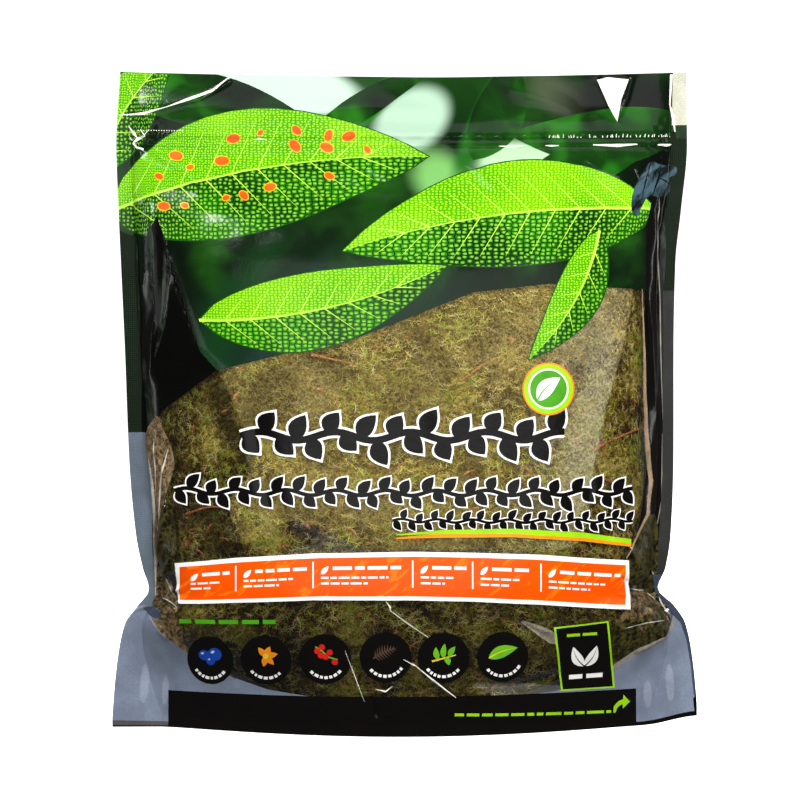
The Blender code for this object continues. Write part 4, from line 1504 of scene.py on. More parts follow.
# Name, dark and light colour, and veil
MOSSY_FILMS = [
    ("flap", (66, 50, 26), (152, 130, 96), 0.8), ("umber", (38, 28, 15), (122, 102, 68), 0.85),
    # The last, nearly black, is painted shade in the hollows of the pinches
    ("dusk", (8, 6, 2), (80, 74, 35), 0.9),
]
# Name and colour, then whether the heated bars left a grid, and the roughness
SEAL_FILMS = [
    # The pale seam film is a painted highlight on the top right corner
    ("seam_dark", (12, 26, 9)), ("seam_pale", (196, 196, 176)), ("seam_blue", (98, 110, 122)),
    ("seam_slate", (48, 49, 46)), ("weld", (142, 150, 168), False, 0.2), ("rim_blue", (58, 66, 82), False),
    ("edge_grey", (84, 80, 82), False),
]


def print_inks():
    """The finish of each printed area, by its short name."""
    settings = bpy.context.scene.pouch_film
    lime = tuple(settings.leaf_colour)
    finishes = {
        "clear": clear_film(),
        "pressed": pressed_film(),
        "forest": cloud_ink("forest", 0.055, 3.0, 0.6, FOREST_STOPS, FOREST_PATCHES),
        "shadow_leaf": cloud_ink("shadow_leaf", 0.030, 2.0, 0.5, SHADOW_STOPS),
        "back_ground": cloud_ink("back_ground", 0.070, 3.0, 0.4, BACK_STOPS, roughness=0.16),
        "leaf_light": leaf_ink("leaf_light", lime, rgb(84, 176, 8), rgb(176, 232, 34), 1.5, 0.5),
        "leaf_deep": leaf_ink("leaf_deep", rgb(52, 140, 8), rgb(16, 64, 8), rgb(132, 206, 48), 2.4, 0.9),
        "spot": ink("spot", tuple(settings.spot_colour), 0.3),
        "banner": banner_ink(tuple(settings.banner_colour)),
        "corner_blue": seal_film("corner_blue", tuple(settings.corner_colour), grid=False),
    }
    finishes.update({name: ink(name, rgb(*colour), *more) for name, colour, *more in PLAIN_INKS})
    finishes.update({name: seal_film(name, rgb(*colour), *more) for name, colour, *more in SEAL_FILMS})
    for make, rows in ((sheen_ink, SHEEN_INKS), (hazed_film, HAZED_FILMS), (mossy_film, MOSSY_FILMS)):
        finishes.update({row[0]: make(*row) for row in rows})
    return finishes


def panel_points(side, step):
    """Loose places where a film wall's mesh needs corners: an even grid, the zip and the folds."""
    across = np.linspace(-SHEET_EDGE, SHEET_EDGE, round(2 * SHEET_EDGE / step) + 1)[1:-1]
    height = np.linspace(0.0, POUCH_HEIGHT, round(POUCH_HEIGHT / step) + 1)[1:-1]
    grid = np.stack(np.meshgrid(across, height), axis=-1).reshape(-1, 2)
    band = (grid[:, 1] > ZIP_BAND[0] - 0.5) & (grid[:, 1] < ZIP_BAND[1])
    zip_across = np.arange(-SHEET_EDGE + 0.6, SHEET_EDGE, ZIP_MESH[0])
    zip_height = np.arange(*ZIP_BAND, ZIP_MESH[1])
    zip_grid = np.stack(np.meshgrid(zip_across, zip_height), axis=-1).reshape(-1, 2)
    folds = []
    for crease in CREASES[side]:
        if crease.width < FINE_CREASE:
            spots = crease.points()
            spots = spots[(spots[:, 1] > 1.0) & (spots[:, 1] < POUCH_HEIGHT - 1.0)]
            folds.append(np.stack([front_to_sheet(spots[:, 0], spots[:, 1]), spots[:, 1]], axis=-1))
    folds = np.concatenate(folds)
    folds = folds[np.abs(folds[:, 0]) < SHEET_EDGE - 0.8]
    return thinned(np.concatenate([folds, zip_grid, grid[~band]]), [], CORNER_ROOM)


def thinned(points, taken, room):
    """The points that are not within that room of one taken before them."""
    everything = [*taken, *points]
    tree = KDTree(len(everything))
    for i, point in enumerate(everything):
        tree.insert((point[0], point[1], 0.0), i)
    tree.balance()
    kept = [True] * len(everything)
    for i in range(len(taken), len(everything)):
        point = everything[i]
        near = tree.find_range((point[0], point[1], 0.0), room)
        kept[i] = not any(other < i and kept[other] for _, other, _ in near)
    return points[kept[len(taken):]]


def inside_outline(outline, places):
    """Which places lie inside a closed outline."""
    ax, az = outline[:, 0], outline[:, 1]
    bx, bz = np.roll(ax, -1), np.roll(az, -1)
    x, z = places[:, 0, None], places[:, 1, None]
    spans = (az > z) != (bz > z)
    drop = np.where(bz == az, 1.0, bz - az)
    crossed = spans & (x < (bx - ax) * (z - az) / drop + ax)
    return crossed.sum(axis=1) % 2 == 1


def printed_sheet(side, shapes, step):
    """Cuts the flat sheet along every printed outline: places, triangles and each one's ink."""
    corners = [(-SHEET_EDGE, 0.0), (SHEET_EDGE, 0.0), (SHEET_EDGE, POUCH_HEIGHT), (-SHEET_EDGE, POUCH_HEIGHT)]
    outlines = [np.array(spaced(corners, step))]
    for _, shape in shapes[1:]:
        dense = np.array(spaced(shape, OUTLINE_STEP))
        height = np.clip(dense[:, 1], 0.0, POUCH_HEIGHT)
        dense = np.stack([front_to_sheet(dense[:, 0], height), height], axis=-1)
        far_enough = np.hypot(*(dense - np.roll(dense, 1, axis=0)).T) > 0.02
        outlines.append(dense[far_enough])
    places = thinned(panel_points(side, step), np.concatenate(outlines), OUTLINE_ROOM)
    edges = []
    first = len(places)
    for outline in outlines:
        count = len(outline)
        edges += [(first + i, first + (i + 1) % count) for i in range(count)]
        first += count
    places = np.concatenate([places, *outlines])
    made = delaunay_2d_cdt([Vector(p) for p in places], edges, [], 0, 1e-4, False)
    flat = np.array([tuple(v) for v in made[0]])
    triangles = np.array(made[2])
    middles = flat[triangles].mean(axis=1)
    on_sheet = (np.abs(middles[:, 0]) < SHEET_EDGE) & (middles[:, 1] > 0.0) & (middles[:, 1] < POUCH_HEIGHT)
    triangles, middles = triangles[on_sheet], middles[on_sheet]
    used = np.unique(triangles)
    triangles = np.searchsorted(used, triangles)
    top = np.zeros(len(triangles), int)
    for number, outline in enumerate(outlines[1:], 1):
        low, high = outline.min(axis=0), outline.max(axis=0)
        near = np.nonzero(((middles > low) & (middles < high)).all(axis=1))[0]
        top[near[inside_outline(outline, middles[near])]] = number
    return flat[used], triangles, [shapes[i][0] for i in top]


def film_piece(name, side, shapes, inks, thickness, step):
    """One film wall as a thin closed sheet, printed, folded and welded at its edges."""
    flat, triangles, names = printed_sheet(side, shapes, step)
    across = np.clip(flat[:, 0], -SHEET_EDGE, SHEET_EDGE)
    height = np.clip(flat[:, 1], 0.0, POUCH_HEIGHT)
    outer = film_wall(side, across, height)
    outward = outward_normals(film_wall, side, across, height)
    inner = outer - outward * thickness
    ab = flat[triangles[:, 1]] - flat[triangles[:, 0]]
    ac = flat[triangles[:, 2]] - flat[triangles[:, 0]]
    turned = (ab[:, 0] * ac[:, 1] - ab[:, 1] * ac[:, 0]) * -side < 0
    triangles[turned] = triangles[turned][:, ::-1]
    count = len(flat)
    used = sorted(set(names))
    slots = np.array([used.index(key) for key in names])
    pairs = np.concatenate([triangles[:, [0, 1]], triangles[:, [1, 2]], triangles[:, [2, 0]]])
    owner = np.tile(np.arange(len(triangles)), 3)
    known = {(a, b): i for (a, b), i in zip(map(tuple, pairs.tolist()), owner.tolist())}
    rim = [(pair, i) for pair, i in known.items() if (pair[1], pair[0]) not in known]
    faces = triangles.tolist() + (triangles[:, ::-1] + count).tolist()
    faces += [[b, a, a + count, b + count] for (a, b), _ in rim]
    face_slots = np.concatenate([slots, slots, slots[[i for _, i in rim]]])
    piece = make_object(name, np.concatenate([outer, inner]), faces, [inks[key] for key in used], face_slots)
    layer = piece.data.uv_layers.new(name="sheet")
    loops = np.zeros(len(piece.data.loops), np.int32)
    piece.data.loops.foreach_get("vertex_index", loops)
    spread = np.stack([across / (2 * SHEET_EDGE) + 0.5, height / POUCH_HEIGHT], axis=-1)
    layer.data.foreach_set("uv", np.concatenate([spread, spread])[loops].astype(np.float32).ravel())
    piece.data.normals_split_custom_set_from_vertices(np.concatenate([outward, -outward]).tolist())
    return piece


# Pieces


class PouchFilmSettings(bpy.types.PropertyGroup):
    thickness: FloatProperty(
        name="Film", description="Thickness of the laminate", default=0.15 * MM, unit="LENGTH", precision=5
    )
    step: FloatProperty(
        name="Mesh step", description="Size of the film's mesh", default=2.5 * MM, unit="LENGTH", precision=4
    )
    fold_depth: FloatProperty(name="Fold depth", description="How strong every fold is", default=1.0, min=0.0)
    leaf_colour: FloatVectorProperty(
        name="Leaf", description="Lit side of the printed leaves", default=rgb(124, 204, 16), subtype="COLOR"
    )
    spot_colour: FloatVectorProperty(
        name="Spot", description="Ovals on the printed leaves", default=rgb(236, 92, 22), subtype="COLOR"
    )
    banner_colour: FloatVectorProperty(
        name="Banner", description="Orange band across the foot", default=rgb(238, 80, 2), subtype="COLOR"
    )
    corner_colour: FloatVectorProperty(
        name="Corners", description="Welded corners of the foot", default=rgb(120, 130, 148), subtype="COLOR"
    )


class MossSettings(bpy.types.PropertyGroup):
    seed: IntProperty(name="Seed", description="Changes where the strands lie", default=7)
    strand_length: FloatProperty(
        name="Strand", description="Length of a tuft of strands", default=5.8 * MM, unit="LENGTH", precision=4
    )
    strand_radius: FloatProperty(
        name="Radius", description="Radius of a strand", default=0.235 * MM, unit="LENGTH", precision=5
    )
    front_tufts: IntProperty(name="Front tufts", description="Tufts in each part at the window", default=3800)
    hidden_tufts: IntProperty(name="Hidden tufts", description="Tufts on each further mat", default=700)
    bits: IntProperty(name="Bits", description="Loose straws and flakes behind the window", default=110)
    lump: FloatProperty(
        name="Lump", description="How far the mats' surface goes in and out", default=2.4 * MM, unit="LENGTH"
    )


class StageSettings(bpy.types.PropertyGroup):
    lens: FloatProperty(name="Lens", description="Focal length in millimetres", default=119.2, unit="CAMERA")
    distance: FloatProperty(name="Distance", description="Camera to pouch", default=1.533, unit="LENGTH")
    height: FloatProperty(name="Height", description="Camera above the floor", default=0.248, unit="LENGTH")
    turn: FloatProperty(
        name="Turn", description="How far left the camera stands", default=math.radians(1.3), subtype="ANGLE"
    )
    key: FloatProperty(name="Key", description="Power of the main light", default=31.0, unit="POWER")


class MOSSPOUCH_OT_stage(bpy.types.Operator):
    """Add the floor, the lights and the camera."""

    bl_idname = "moss_pouch.stage"
    bl_label = "Stage"

    def execute(self, context):
        settings = context.scene.pouch_stage
        self.floor()
        self.world(context.scene)
        self.camera(context.scene, settings)
        # Name, place, size, power, and whether the film mirrors it
        lights = (
            ("key", (0.15, -1.35, 1.45), (0.9, 0.7), settings.key, False),
            ("fill_right", (1.35, -0.85, 0.75), (0.8, 0.9), 18.0, False),
            ("fill_left", (-1.35, -0.8, 0.75), (0.8, 0.9), 11.0, False),
            ("fill_low", (0.0, -1.6, 0.25), (1.0, 0.4), 5.0, False),
            ("softbox", (0.11, -1.45, 0.70), (1.08, 0.60), 1.5, True),
            ("spark", (-0.55, -1.2, 1.3), (0.16, 0.16), 1.6, True),
            ("strip_right", (1.5, 0.1, 0.5), (0.10, 1.2), 1.6, True),
            ("strip_left", (-1.4, -0.1, 0.45), (0.08, 1.2), 1.6, True),
            ("top", (0.0, 0.1, 1.9), (1.4, 0.8), 6.0, True),
            ("back_key", (0.3, 1.45, 1.3), (1.1, 0.8), 30.0, False),
            ("back_gloss", (0.3, 1.5, 0.9), (1.2, 0.9), 3.0, True),
        )
        for light in lights:
            self.light(*light)
        return {"FINISHED"}

    def floor(self):
        far, low = FLOOR_REACH, FLOOR_HEIGHT
        paint = Paint("pale_floor")
        tone = paint.mix(paint.noise(0.4, 2.0), (0.93, 0.93, 0.93), (0.96, 0.96, 0.96))
        finish = paint.finish(paint.surface(tone, 0.9, Emission_Color=WHITE, Emission_Strength=1.2))
        corners = [(-far, -far, low), (far, -far, low), (far, far, low), (-far, far, low)]
        floor = make_object("pale_floor", corners, [(0, 1, 2, 3)], [finish], smooth=False)
        floor.visible_glossy = False
        floor.visible_diffuse = False

    def world(self, scene):
        """A room that is white to the camera and almost dark to everything else."""
        world = bpy.data.worlds.new("studio")
        world.use_nodes = True
        tree = world.node_tree
        tree.nodes.clear()
        seen, dim = (
            add_node(tree, "ShaderNodeBackground", None, {"Color": WHITE, "Strength": strength}).outputs[0]
            for strength in (1.4, 0.06)
        )
        direct = add_node(tree, "ShaderNodeLightPath").outputs["Is Camera Ray"]
        choose = add_node(tree, "ShaderNodeMixShader", None, {0: direct, 1: dim, 2: seen}).outputs[0]
        add_node(tree, "ShaderNodeOutputWorld", None, {"Surface": choose})
        scene.world = world
        scene.view_settings.view_transform = "Standard"
        scene.cycles.transparent_max_bounces = 24

    def camera(self, scene, settings):
        data = bpy.data.cameras.new("camera")
        data.lens = settings.lens
        data.sensor_width = 36.0
        data.clip_end = 20.0
        away = Vector((-math.sin(settings.turn), -math.cos(settings.turn), 0.0))
        place = Vector((0.0, 0.0, settings.height)) + away * settings.distance
        scene.camera = self.aimed("camera", data, place, CAMERA_AIM)

    def light(self, name, place, size, power, mirrored):
        data = bpy.data.lights.new(name, "AREA")
        data.shape = "RECTANGLE"
        data.size, data.size_y = size
        data.energy = power
        lamp = self.aimed(name, data, Vector(place), LIGHT_AIM)
        lamp.visible_glossy = mirrored
        lamp.visible_camera = False

    def aimed(self, name, data, place, aim):
        thing = bpy.data.objects.new(name, data)
        bpy.context.scene.collection.objects.link(thing)
        thing.location = place
        thing.rotation_mode = "QUATERNION"
        thing.rotation_quaternion = (Vector(aim) - place).to_track_quat("-Z", "Y")
        return thing


class MOSSPOUCH_OT_film(bpy.types.Operator):
    """Make the printed front wall and the back wall."""

    bl_idname = "moss_pouch.film"
    bl_label = "Film walls"

    def execute(self, context):
        settings = context.scene.pouch_film
        inks = print_inks()
        thickness = settings.thickness / MM
        step = settings.step / MM
        front = film_piece("front_film", FRONT, print_front(), inks, thickness, step)
        settle(front, "front_film", "front_panel")
        back = film_piece("back_film", BACK, print_back(), inks, thickness, step * 1.3)
        settle(back, "back_film", "back_panel")
        return {"FINISHED"}


def seal_height(s):
    return SEAL_MIDDLE + SEAL_RISE * np.abs(s) ** SEAL_POWER


def fold_height(s):
    return FOLD_MIDDLE + FOLD_RISE * np.abs(s) ** FOLD_POWER


def gusset_height(s, share):
    """The gusset's height at a share of the way from its fold, 0, to the wall, 1."""
    rise = fold_height(s) - seal_height(s)
    return seal_height(s) + rise * np.sin(math.pi / 2 * (1.0 - share))


class MOSSPOUCH_OT_gusset(bpy.types.Operator):
    """Make the folded bottom sheet."""

    bl_idname = "moss_pouch.gusset"
    bl_label = "Bottom gusset"

    def execute(self, context):
        columns, legs, halves = 96, 10, 12
        last = 2 * (legs + halves)
        across = np.linspace(-SHEET_EDGE, SHEET_EDGE, columns + 1)
        rows = []
        for row in range(last + 1):
            side = FRONT if row <= last // 2 else BACK
            rows.append(self.row(side, row if side == FRONT else last - row, across, legs, halves))
        colour = tuple(context.scene.pouch_film.corner_colour)
        film = seal_film("gusset", tuple(c * 0.9 for c in colour), grid=False)
        piece = make_object("gusset_sheet", np.concatenate(rows), grid_faces(last, columns), [film])
        solid = piece.modifiers.new("film", "SOLIDIFY")
        solid.thickness = context.scene.pouch_film.thickness
        solid.offset = 0.0
        settle(piece, "gusset_film", "bottom_gusset")
        return {"FINISHED"}

    def row(self, side, step, across, legs, halves):
        """One line of the sheet across the pouch, from the foot of a wall up, over and in to the fold."""
        s = between_seams(across)
        if step <= legs:
            height = LEG_FOOT + (seal_height(s) - LEG_FOOT) * step / legs
            spread = 1.0
        else:
            height = seal_height(s)
            spread = 1.0 - (step - legs) / halves
        wall = plain_wall(side, across, height)
        y = (wall[:, 1] - side * GUSSET_INSET) * spread
        z = height if step <= legs else gusset_height(s, spread)
        wrinkle = 0.9 * soft_noise(wall[:, 0], 0 * wall[:, 0] + 40 * spread * side, 13.0, 5)
        x = sheet_to_front(across, z)[0]
        loose = (1 - spread) * np.abs(s) * (1 - np.minimum(np.abs(across) / SHEET_HALF, 1.0) ** 8)
        z = z + wrinkle * loose + corner_rise(x, height)
        return np.stack([x, y, z], axis=-1)


class MOSSPOUCH_OT_zip(bpy.types.Operator):
    """Make both halves of the zip, each a band with two pressed ribs."""

    bl_idname = "moss_pouch.zip"
    bl_label = "Zip"

    def execute(self, context):
        plastic = zip_plastic()
        for name, side, first_rib in (("zip_front", FRONT, -4.2), ("zip_back", BACK, -1.8)):
            node = f"{name}_track"
            low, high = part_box(node)
            piece = self.track(name, side, first_rib, (high.x - low.x) / 2 / MM, plastic)
            settle(piece, "zip_plastic", node)
        return {"FINISHED"}

    def track(self, name, side, first_rib, reach, plastic):
        """One half, from its outline in depth and height."""
        half, out, base, tip = 8.0, 2.4, 2.0, -0.6
        upper = [(base, 0.9), (0.6, 0.6), (0.2, 0.9), (tip + 0.3, 0.9), (tip, 0.4)]
        outline = [(out, -half), (out, half), (base, half)]
        for middle in (first_rib + ZIP_RIB_PITCH, first_rib):
            outline += [(depth, middle + rise) for depth, rise in upper]
            outline += [(depth, middle - rise) for depth, rise in reversed(upper)]
        outline.append((base, -half))
        columns = np.arange(-reach, reach + 0.01, 1.4)
        places = []
        for x in columns:
            notch = 0.12 * math.cos(2 * math.pi * x / ZIP_DOT_PITCH)
            for depth, height in outline:
                y = side * (depth + (notch if depth < 0.5 else 0.0)) + float(lean(ZIP_HEIGHT + height))
                places.append((x, y, ZIP_HEIGHT + height))
        faces = tube_faces(len(columns), len(outline), turn=side)
        return make_object(name, places, faces, [plastic], smooth=False)


def mat_face(boundary, s, height):
    """How deep a boundary between two mats lies, from -1 at the front wall to 1 at the back."""
    share = 2.0 * boundary / SHEETS - 1.0
    if boundary in (0, SHEETS):
        return share + 0.0 * height
    return share + 0.035 * soft_noise(s * 60.0, height, 40.0, 200 + boundary)


def mat_top(number, s):
    return SHEET_TOPS[number] + 4.0 * soft_noise(s * 100.0, 0 * s, 22.0, 60 + number) - 5.0 * np.abs(s) ** 4


def mat_foot(number, s):
    """The lower edge of a mat, which rests on the gusset."""
    return gusset_height(s, abs(2.0 * number + 1.0 - SHEETS) / SHEETS) + SHEET_LIFT


def mat_surface(number, across, height, face, depth):
    """A place on a mat's front (-1) or back (1) face, lifted off it by a depth, clear of the film."""
    s = between_seams(across) * SHEET_REACH
    shaped = np.maximum(height, FOOT)
    room = EDGE_ROOM + (WINDOW_ROOM - EDGE_ROOM) * ramp01(290.0 - height, 0.0, 40.0)
    x = s * (edge(s, shaped) - seal_width(shaped) - room)
    boundary = number if face < 0 else number + 1
    wall = wall_depth(s, shaped) + seam_gap(shaped)
    outer = boundary in (0, SHEETS)
    y = lean(shaped) + mat_face(boundary, s, height) * np.maximum(wall - room, 0.0)
    y = y + (0.0 if outer else -face * 0.5)
    y = y + face * depth
    if outer:
        film = film_wall(face, front_to_sheet(x, height), height)[..., 1]
        y = np.maximum(y, film + FILM_ROOM) if face < 0 else np.minimum(y, film - FILM_ROOM)
    return np.stack([x, y, height + 0 * x], axis=-1)


class MOSSPOUCH_OT_moss(bpy.types.Operator):
    """Make the folded mats of moss and the strands that grow out of them."""

    bl_idname = "moss_pouch.moss"
    bl_label = "Moss"

    def execute(self, context):
        settings = context.scene.pouch_moss
        ground = moss_ground()
        strand = moss_strand()
        tufts = self.tuft_shapes(settings)
        tree = growth_tree()
        for number in range(SHEETS):
            body = self.mat(number, ground, settings.lump / MM)
            settle(body, "dried_moss", f"moss_sheet_{number + 1}")
            splits = (-1.0, 1.0) if number else (-1.0, -0.5, 0.0, 0.5, 1.0)
            count = settings.hidden_tufts if number else settings.front_tufts
            for part, span in enumerate(zip(splits, splits[1:])):
                name = f"moss_growth_{number + 1}_{part + 1}"
                seed = settings.seed + number * 10 + part
                self.growth(name, number, span, count, seed, tree, tufts, strand)
        for shape in list(tufts.objects):
            bpy.data.objects.remove(shape, do_unlink=True)
        bpy.data.collections.remove(tufts)
        return {"FINISHED"}

    def mat(self, number, ground, lump):
        """The body of a mat: a closed lump that keeps the shape of its solid, with a crumbly skin."""
        columns = rows = 60 if number else 110
        across = np.linspace(-SHEET_HALF, SHEET_HALF, columns + 1)
        across, share = np.meshgrid(across, np.linspace(0.0, 1.0, rows + 1))
        s = between_seams(across) * SHEET_REACH
        low = mat_foot(number, s)
        height = low + (mat_top(number, s) - low) * share
        x = s * HALF_WIDTH
        # Size and rise of each kind of lump
        kinds = enumerate(((22.0, 0.9), (8.0, 0.6), (3.4, 0.35)))
        rough = sum(soft_noise(x, height, size, 300 + 10 * i + number) * rise for i, (size, rise) in kinds)
        rim = np.maximum(np.abs(across) / SHEET_HALF, np.abs(2 * share - 1))
        depth = lump * rough * 0.6 - 5.0 * ramp01(rim, 0.93, 1.0) - (1.0 if number else 0.0)
        sides = (mat_surface(number, across, height, side, depth) for side in (FRONT, BACK))
        front, back = (places.reshape(-1, 3) for places in sides)
        thin = (back[:, 1] - front[:, 1]) < THINNEST_MAT
        middle = (back[:, 1] + front[:, 1]) / 2
        front[thin, 1] = middle[thin] - THINNEST_MAT / 2
        back[thin, 1] = middle[thin] + THINNEST_MAT / 2
        count = len(front)
        faces = []
        for a, b, c, d in grid_faces(rows, columns):
            faces += [(a, b, c, d), (a + count, d + count, c + count, b + count)]
        width = columns + 1
        rim = [c for c in range(columns)] + [r * width + columns for r in range(rows)]
        rim += [rows * width + c for c in range(columns, 0, -1)] + [r * width for r in range(rows, 0, -1)]
        faces += [(b, a, a + count, b + count) for a, b in zip(rim, rim[1:] + rim[:1])]
        return make_object(f"moss_mat_{number + 1}", np.concatenate([front, back]), faces, [ground])

    def tuft_shapes(self, settings):
        """A few small tufts, each some curled strands, that the growth is made from."""
        collection = bpy.data.collections.new("tufts")
        length = settings.strand_length / MM
        radius = settings.strand_radius / MM
        for kind in range(6):
            draw = random.Random(settings.seed * 31 + kind)
            places, faces = [], []
            self.strand(places, faces, (0, 0, 0), 0.0, length, radius, 2, draw)
            for k in range(6):
                side = 1 if k % 2 else -1
                reach = length * draw.uniform(0.22, 0.36)
                angle = side * draw.uniform(0.6, 1.1)
                along = length * (-0.36 + 0.13 * k) + reach / 2 * math.cos(angle)
                start = (along, reach / 2 * math.sin(angle), 0.05)
                self.strand(places, faces, start, angle, reach, radius * 0.8, 1, draw)
            mesh = bpy.data.meshes.new(f"tuft_{kind}")
            mesh.from_pydata((np.array(places) * MM).tolist(), [], faces)
            mesh.shade_smooth()
            collection.objects.link(bpy.data.objects.new(f"tuft_{kind}", mesh))
        return collection

    def strand(self, places, faces, start, angle, length, radius, rings, draw):
        """A thin three-sided strand with pointed ends, curled in the plane of the mat."""
        curl = draw.uniform(-0.8, 0.8)
        rise = draw.uniform(-0.06, 0.14) * length
        first = len(places)

        def middle(t):
            turn = angle + curl * (t - 0.5)
            reach = length * (t - 0.5)
            x = start[0] + reach * math.cos(turn)
            y = start[1] + reach * math.sin(turn) + 0.05 * length * math.sin(7 * t + angle)
            return np.array([x, y, start[2] + rise * math.sin(math.pi * t)])

        places.append(tuple(middle(0.0)))
        for row in range(rings):
            t = (row + 0.8) / (rings + 0.6)
            centre = middle(t)
            along = middle(t + 0.02) - middle(t - 0.02)
            along /= np.linalg.norm(along)
            aside = np.array([-along[1], along[0], 0.0])
            up = np.cross(along, aside)
            width = radius * (1.0 - 0.45 * t)
            places += [tuple(centre + width * (aside * cosine + up * sine)) for cosine, sine in ring(3)]
        places.append(tuple(middle(1.0)))
        last = len(places) - 1
        for k in range(3):
            n = (k + 1) % 3
            faces.append((first, first + 1 + n, first + 1 + k))
            for row in range(rings - 1):
                a = first + 1 + row * 3
                faces.append((a + k, a + n, a + 3 + n))
                faces.append((a + k, a + 3 + n, a + 3 + k))
            a = first + 1 + (rings - 1) * 3
            faces.append((a + k, a + n, last))

    def growth(self, name, number, span, count, seed, tree, tufts, strand):
        """Strands on a mat's front face: scattered over the flat sheet, then laid on the mat."""
        low, high = 12.0, float(np.max(mat_top(number, np.linspace(-1, 1, 20)))) - 2.0
        left, right = (side * SHEET_HALF * 0.97 for side in span)
        corners = [(left, low, 0.0), (right, low, 0.0), (right, high, 0.0), (left, high, 0.0)]
        field = make_object(name, corners, [(0, 1, 2, 3)], [], smooth=False)
        area = (right - left) * (high - low) * MM * MM
        modifier = field.modifiers.new("growth", "NODES")
        modifier.node_group = tree
        values = {"Tufts": tufts, "Density": count / area, "Seed": seed}
        values.update({"Depth": STRAND_DEPTH * MM, "Material": strand})
        for item in tree.interface.items_tree:
            if item.item_type == "SOCKET" and item.in_out == "INPUT" and item.name in values:
                modifier[item.identifier] = values[item.name]
        evaluated = field.evaluated_get(bpy.context.evaluated_depsgraph_get())
        mesh = bpy.data.meshes.new_from_object(evaluated)
        field.modifiers.remove(modifier)
        old = field.data
        field.data = mesh
        bpy.data.meshes.remove(old)
        mesh.name = name
        flat = np.zeros(len(mesh.vertices) * 3, np.float32)
        mesh.vertices.foreach_get("co", flat)
        flat = flat.reshape(-1, 3).astype(float) / MM
        across = np.clip(flat[:, 0], -SHEET_HALF * 0.99, SHEET_HALF * 0.99)
        s = between_seams(across) * SHEET_REACH
        height = np.clip(flat[:, 1], mat_foot(number, s), mat_top(number, s) + 1.0)
        placed = mat_surface(number, across, height, FRONT, flat[:, 2])
        mesh.vertices.foreach_set("co", (placed * MM).astype(np.float32).ravel())
        mesh.update()
        settle(field, "dried_moss")


def growth_tree():
    """Scatters tufts over a face, turns and sizes each one, and gives each its own tint."""
    tree = bpy.data.node_groups.new("moss_growth", "GeometryNodeTree")
    inputs = {
        "Geometry": "Geometry", "Tufts": "Collection", "Density": "Float", "Seed": "Int", "Depth": "Float",
        "Material": "Material",
    }
    for name, kind in inputs.items():
        tree.interface.new_socket(name=name, in_out="INPUT", socket_type=f"NodeSocket{kind}")
    tree.interface.new_socket(name="Geometry", in_out="OUTPUT", socket_type="NodeSocketGeometry")

    def node(kind, settings=None, sockets=None, output=0):
        return add_node(tree, kind, settings, sockets).outputs[output]

    def random_number(low, high, salt):
        index = node("GeometryNodeInputIndex")
        salted = node("ShaderNodeMath", {"operation": "MULTIPLY_ADD"}, {0: index, 1: 13.0, 2: float(salt)})
        sockets = {2: low, 3: high, "Seed": given["Seed"], "ID": salted}
        return node("FunctionNodeRandomValue", {"data_type": "FLOAT"}, sockets, 1)

    given = add_node(tree, "NodeGroupInput").outputs
    scattered = {"Mesh": given["Geometry"], "Density": given["Density"], "Seed": given["Seed"]}
    points = node("GeometryNodeDistributePointsOnFaces", {"distribute_method": "RANDOM"}, scattered, "Points")
    scaled = {0: random_number(0.0, 1.0, 1), 1: given["Depth"]}
    deep = node("ShaderNodeMath", {"operation": "MULTIPLY"}, scaled)
    offset = node("ShaderNodeCombineXYZ", None, {"Z": deep})
    lifted = node("GeometryNodeSetPosition", None, {"Geometry": points, "Offset": offset})
    picked = {"Collection": given["Tufts"], "Separate Children": True, "Reset Children": True}
    kinds = node("GeometryNodeCollectionInfo", None, picked)
    turns = {"X": random_number(-0.25, 0.25, 2), "Y": random_number(-0.25, 0.25, 3)}
    turns["Z"] = random_number(0.0, 6.283, 4)
    placed = {
        "Points": lifted,
        "Instance": kinds,
        "Pick Instance": True,
        "Rotation": node("ShaderNodeCombineXYZ", None, turns),
        "Scale": random_number(0.65, 1.25, 5),
    }
    tufts = node("GeometryNodeInstanceOnPoints", None, placed)
    tinted = {"Geometry": tufts, "Name": "tint", "Value": random_number(0.0, 1.0, 6)}
    marked = node("GeometryNodeStoreNamedAttribute", {"data_type": "FLOAT", "domain": "INSTANCE"}, tinted)
    real = node("GeometryNodeRealizeInstances", None, {"Geometry": marked})
    dressed = node("GeometryNodeSetMaterial", None, {"Geometry": real, "Material": given["Material"]})
    add_node(tree, "NodeGroupOutput", None, {0: dressed})
    return tree


def behind_film(x, z, room):
    """How deep a thing lies that keeps that room behind the front film."""
    across = front_to_sheet(np.array([x]), np.array([z]))
    return float(film_wall(FRONT, across, np.array([z]))[0, 1]) + room


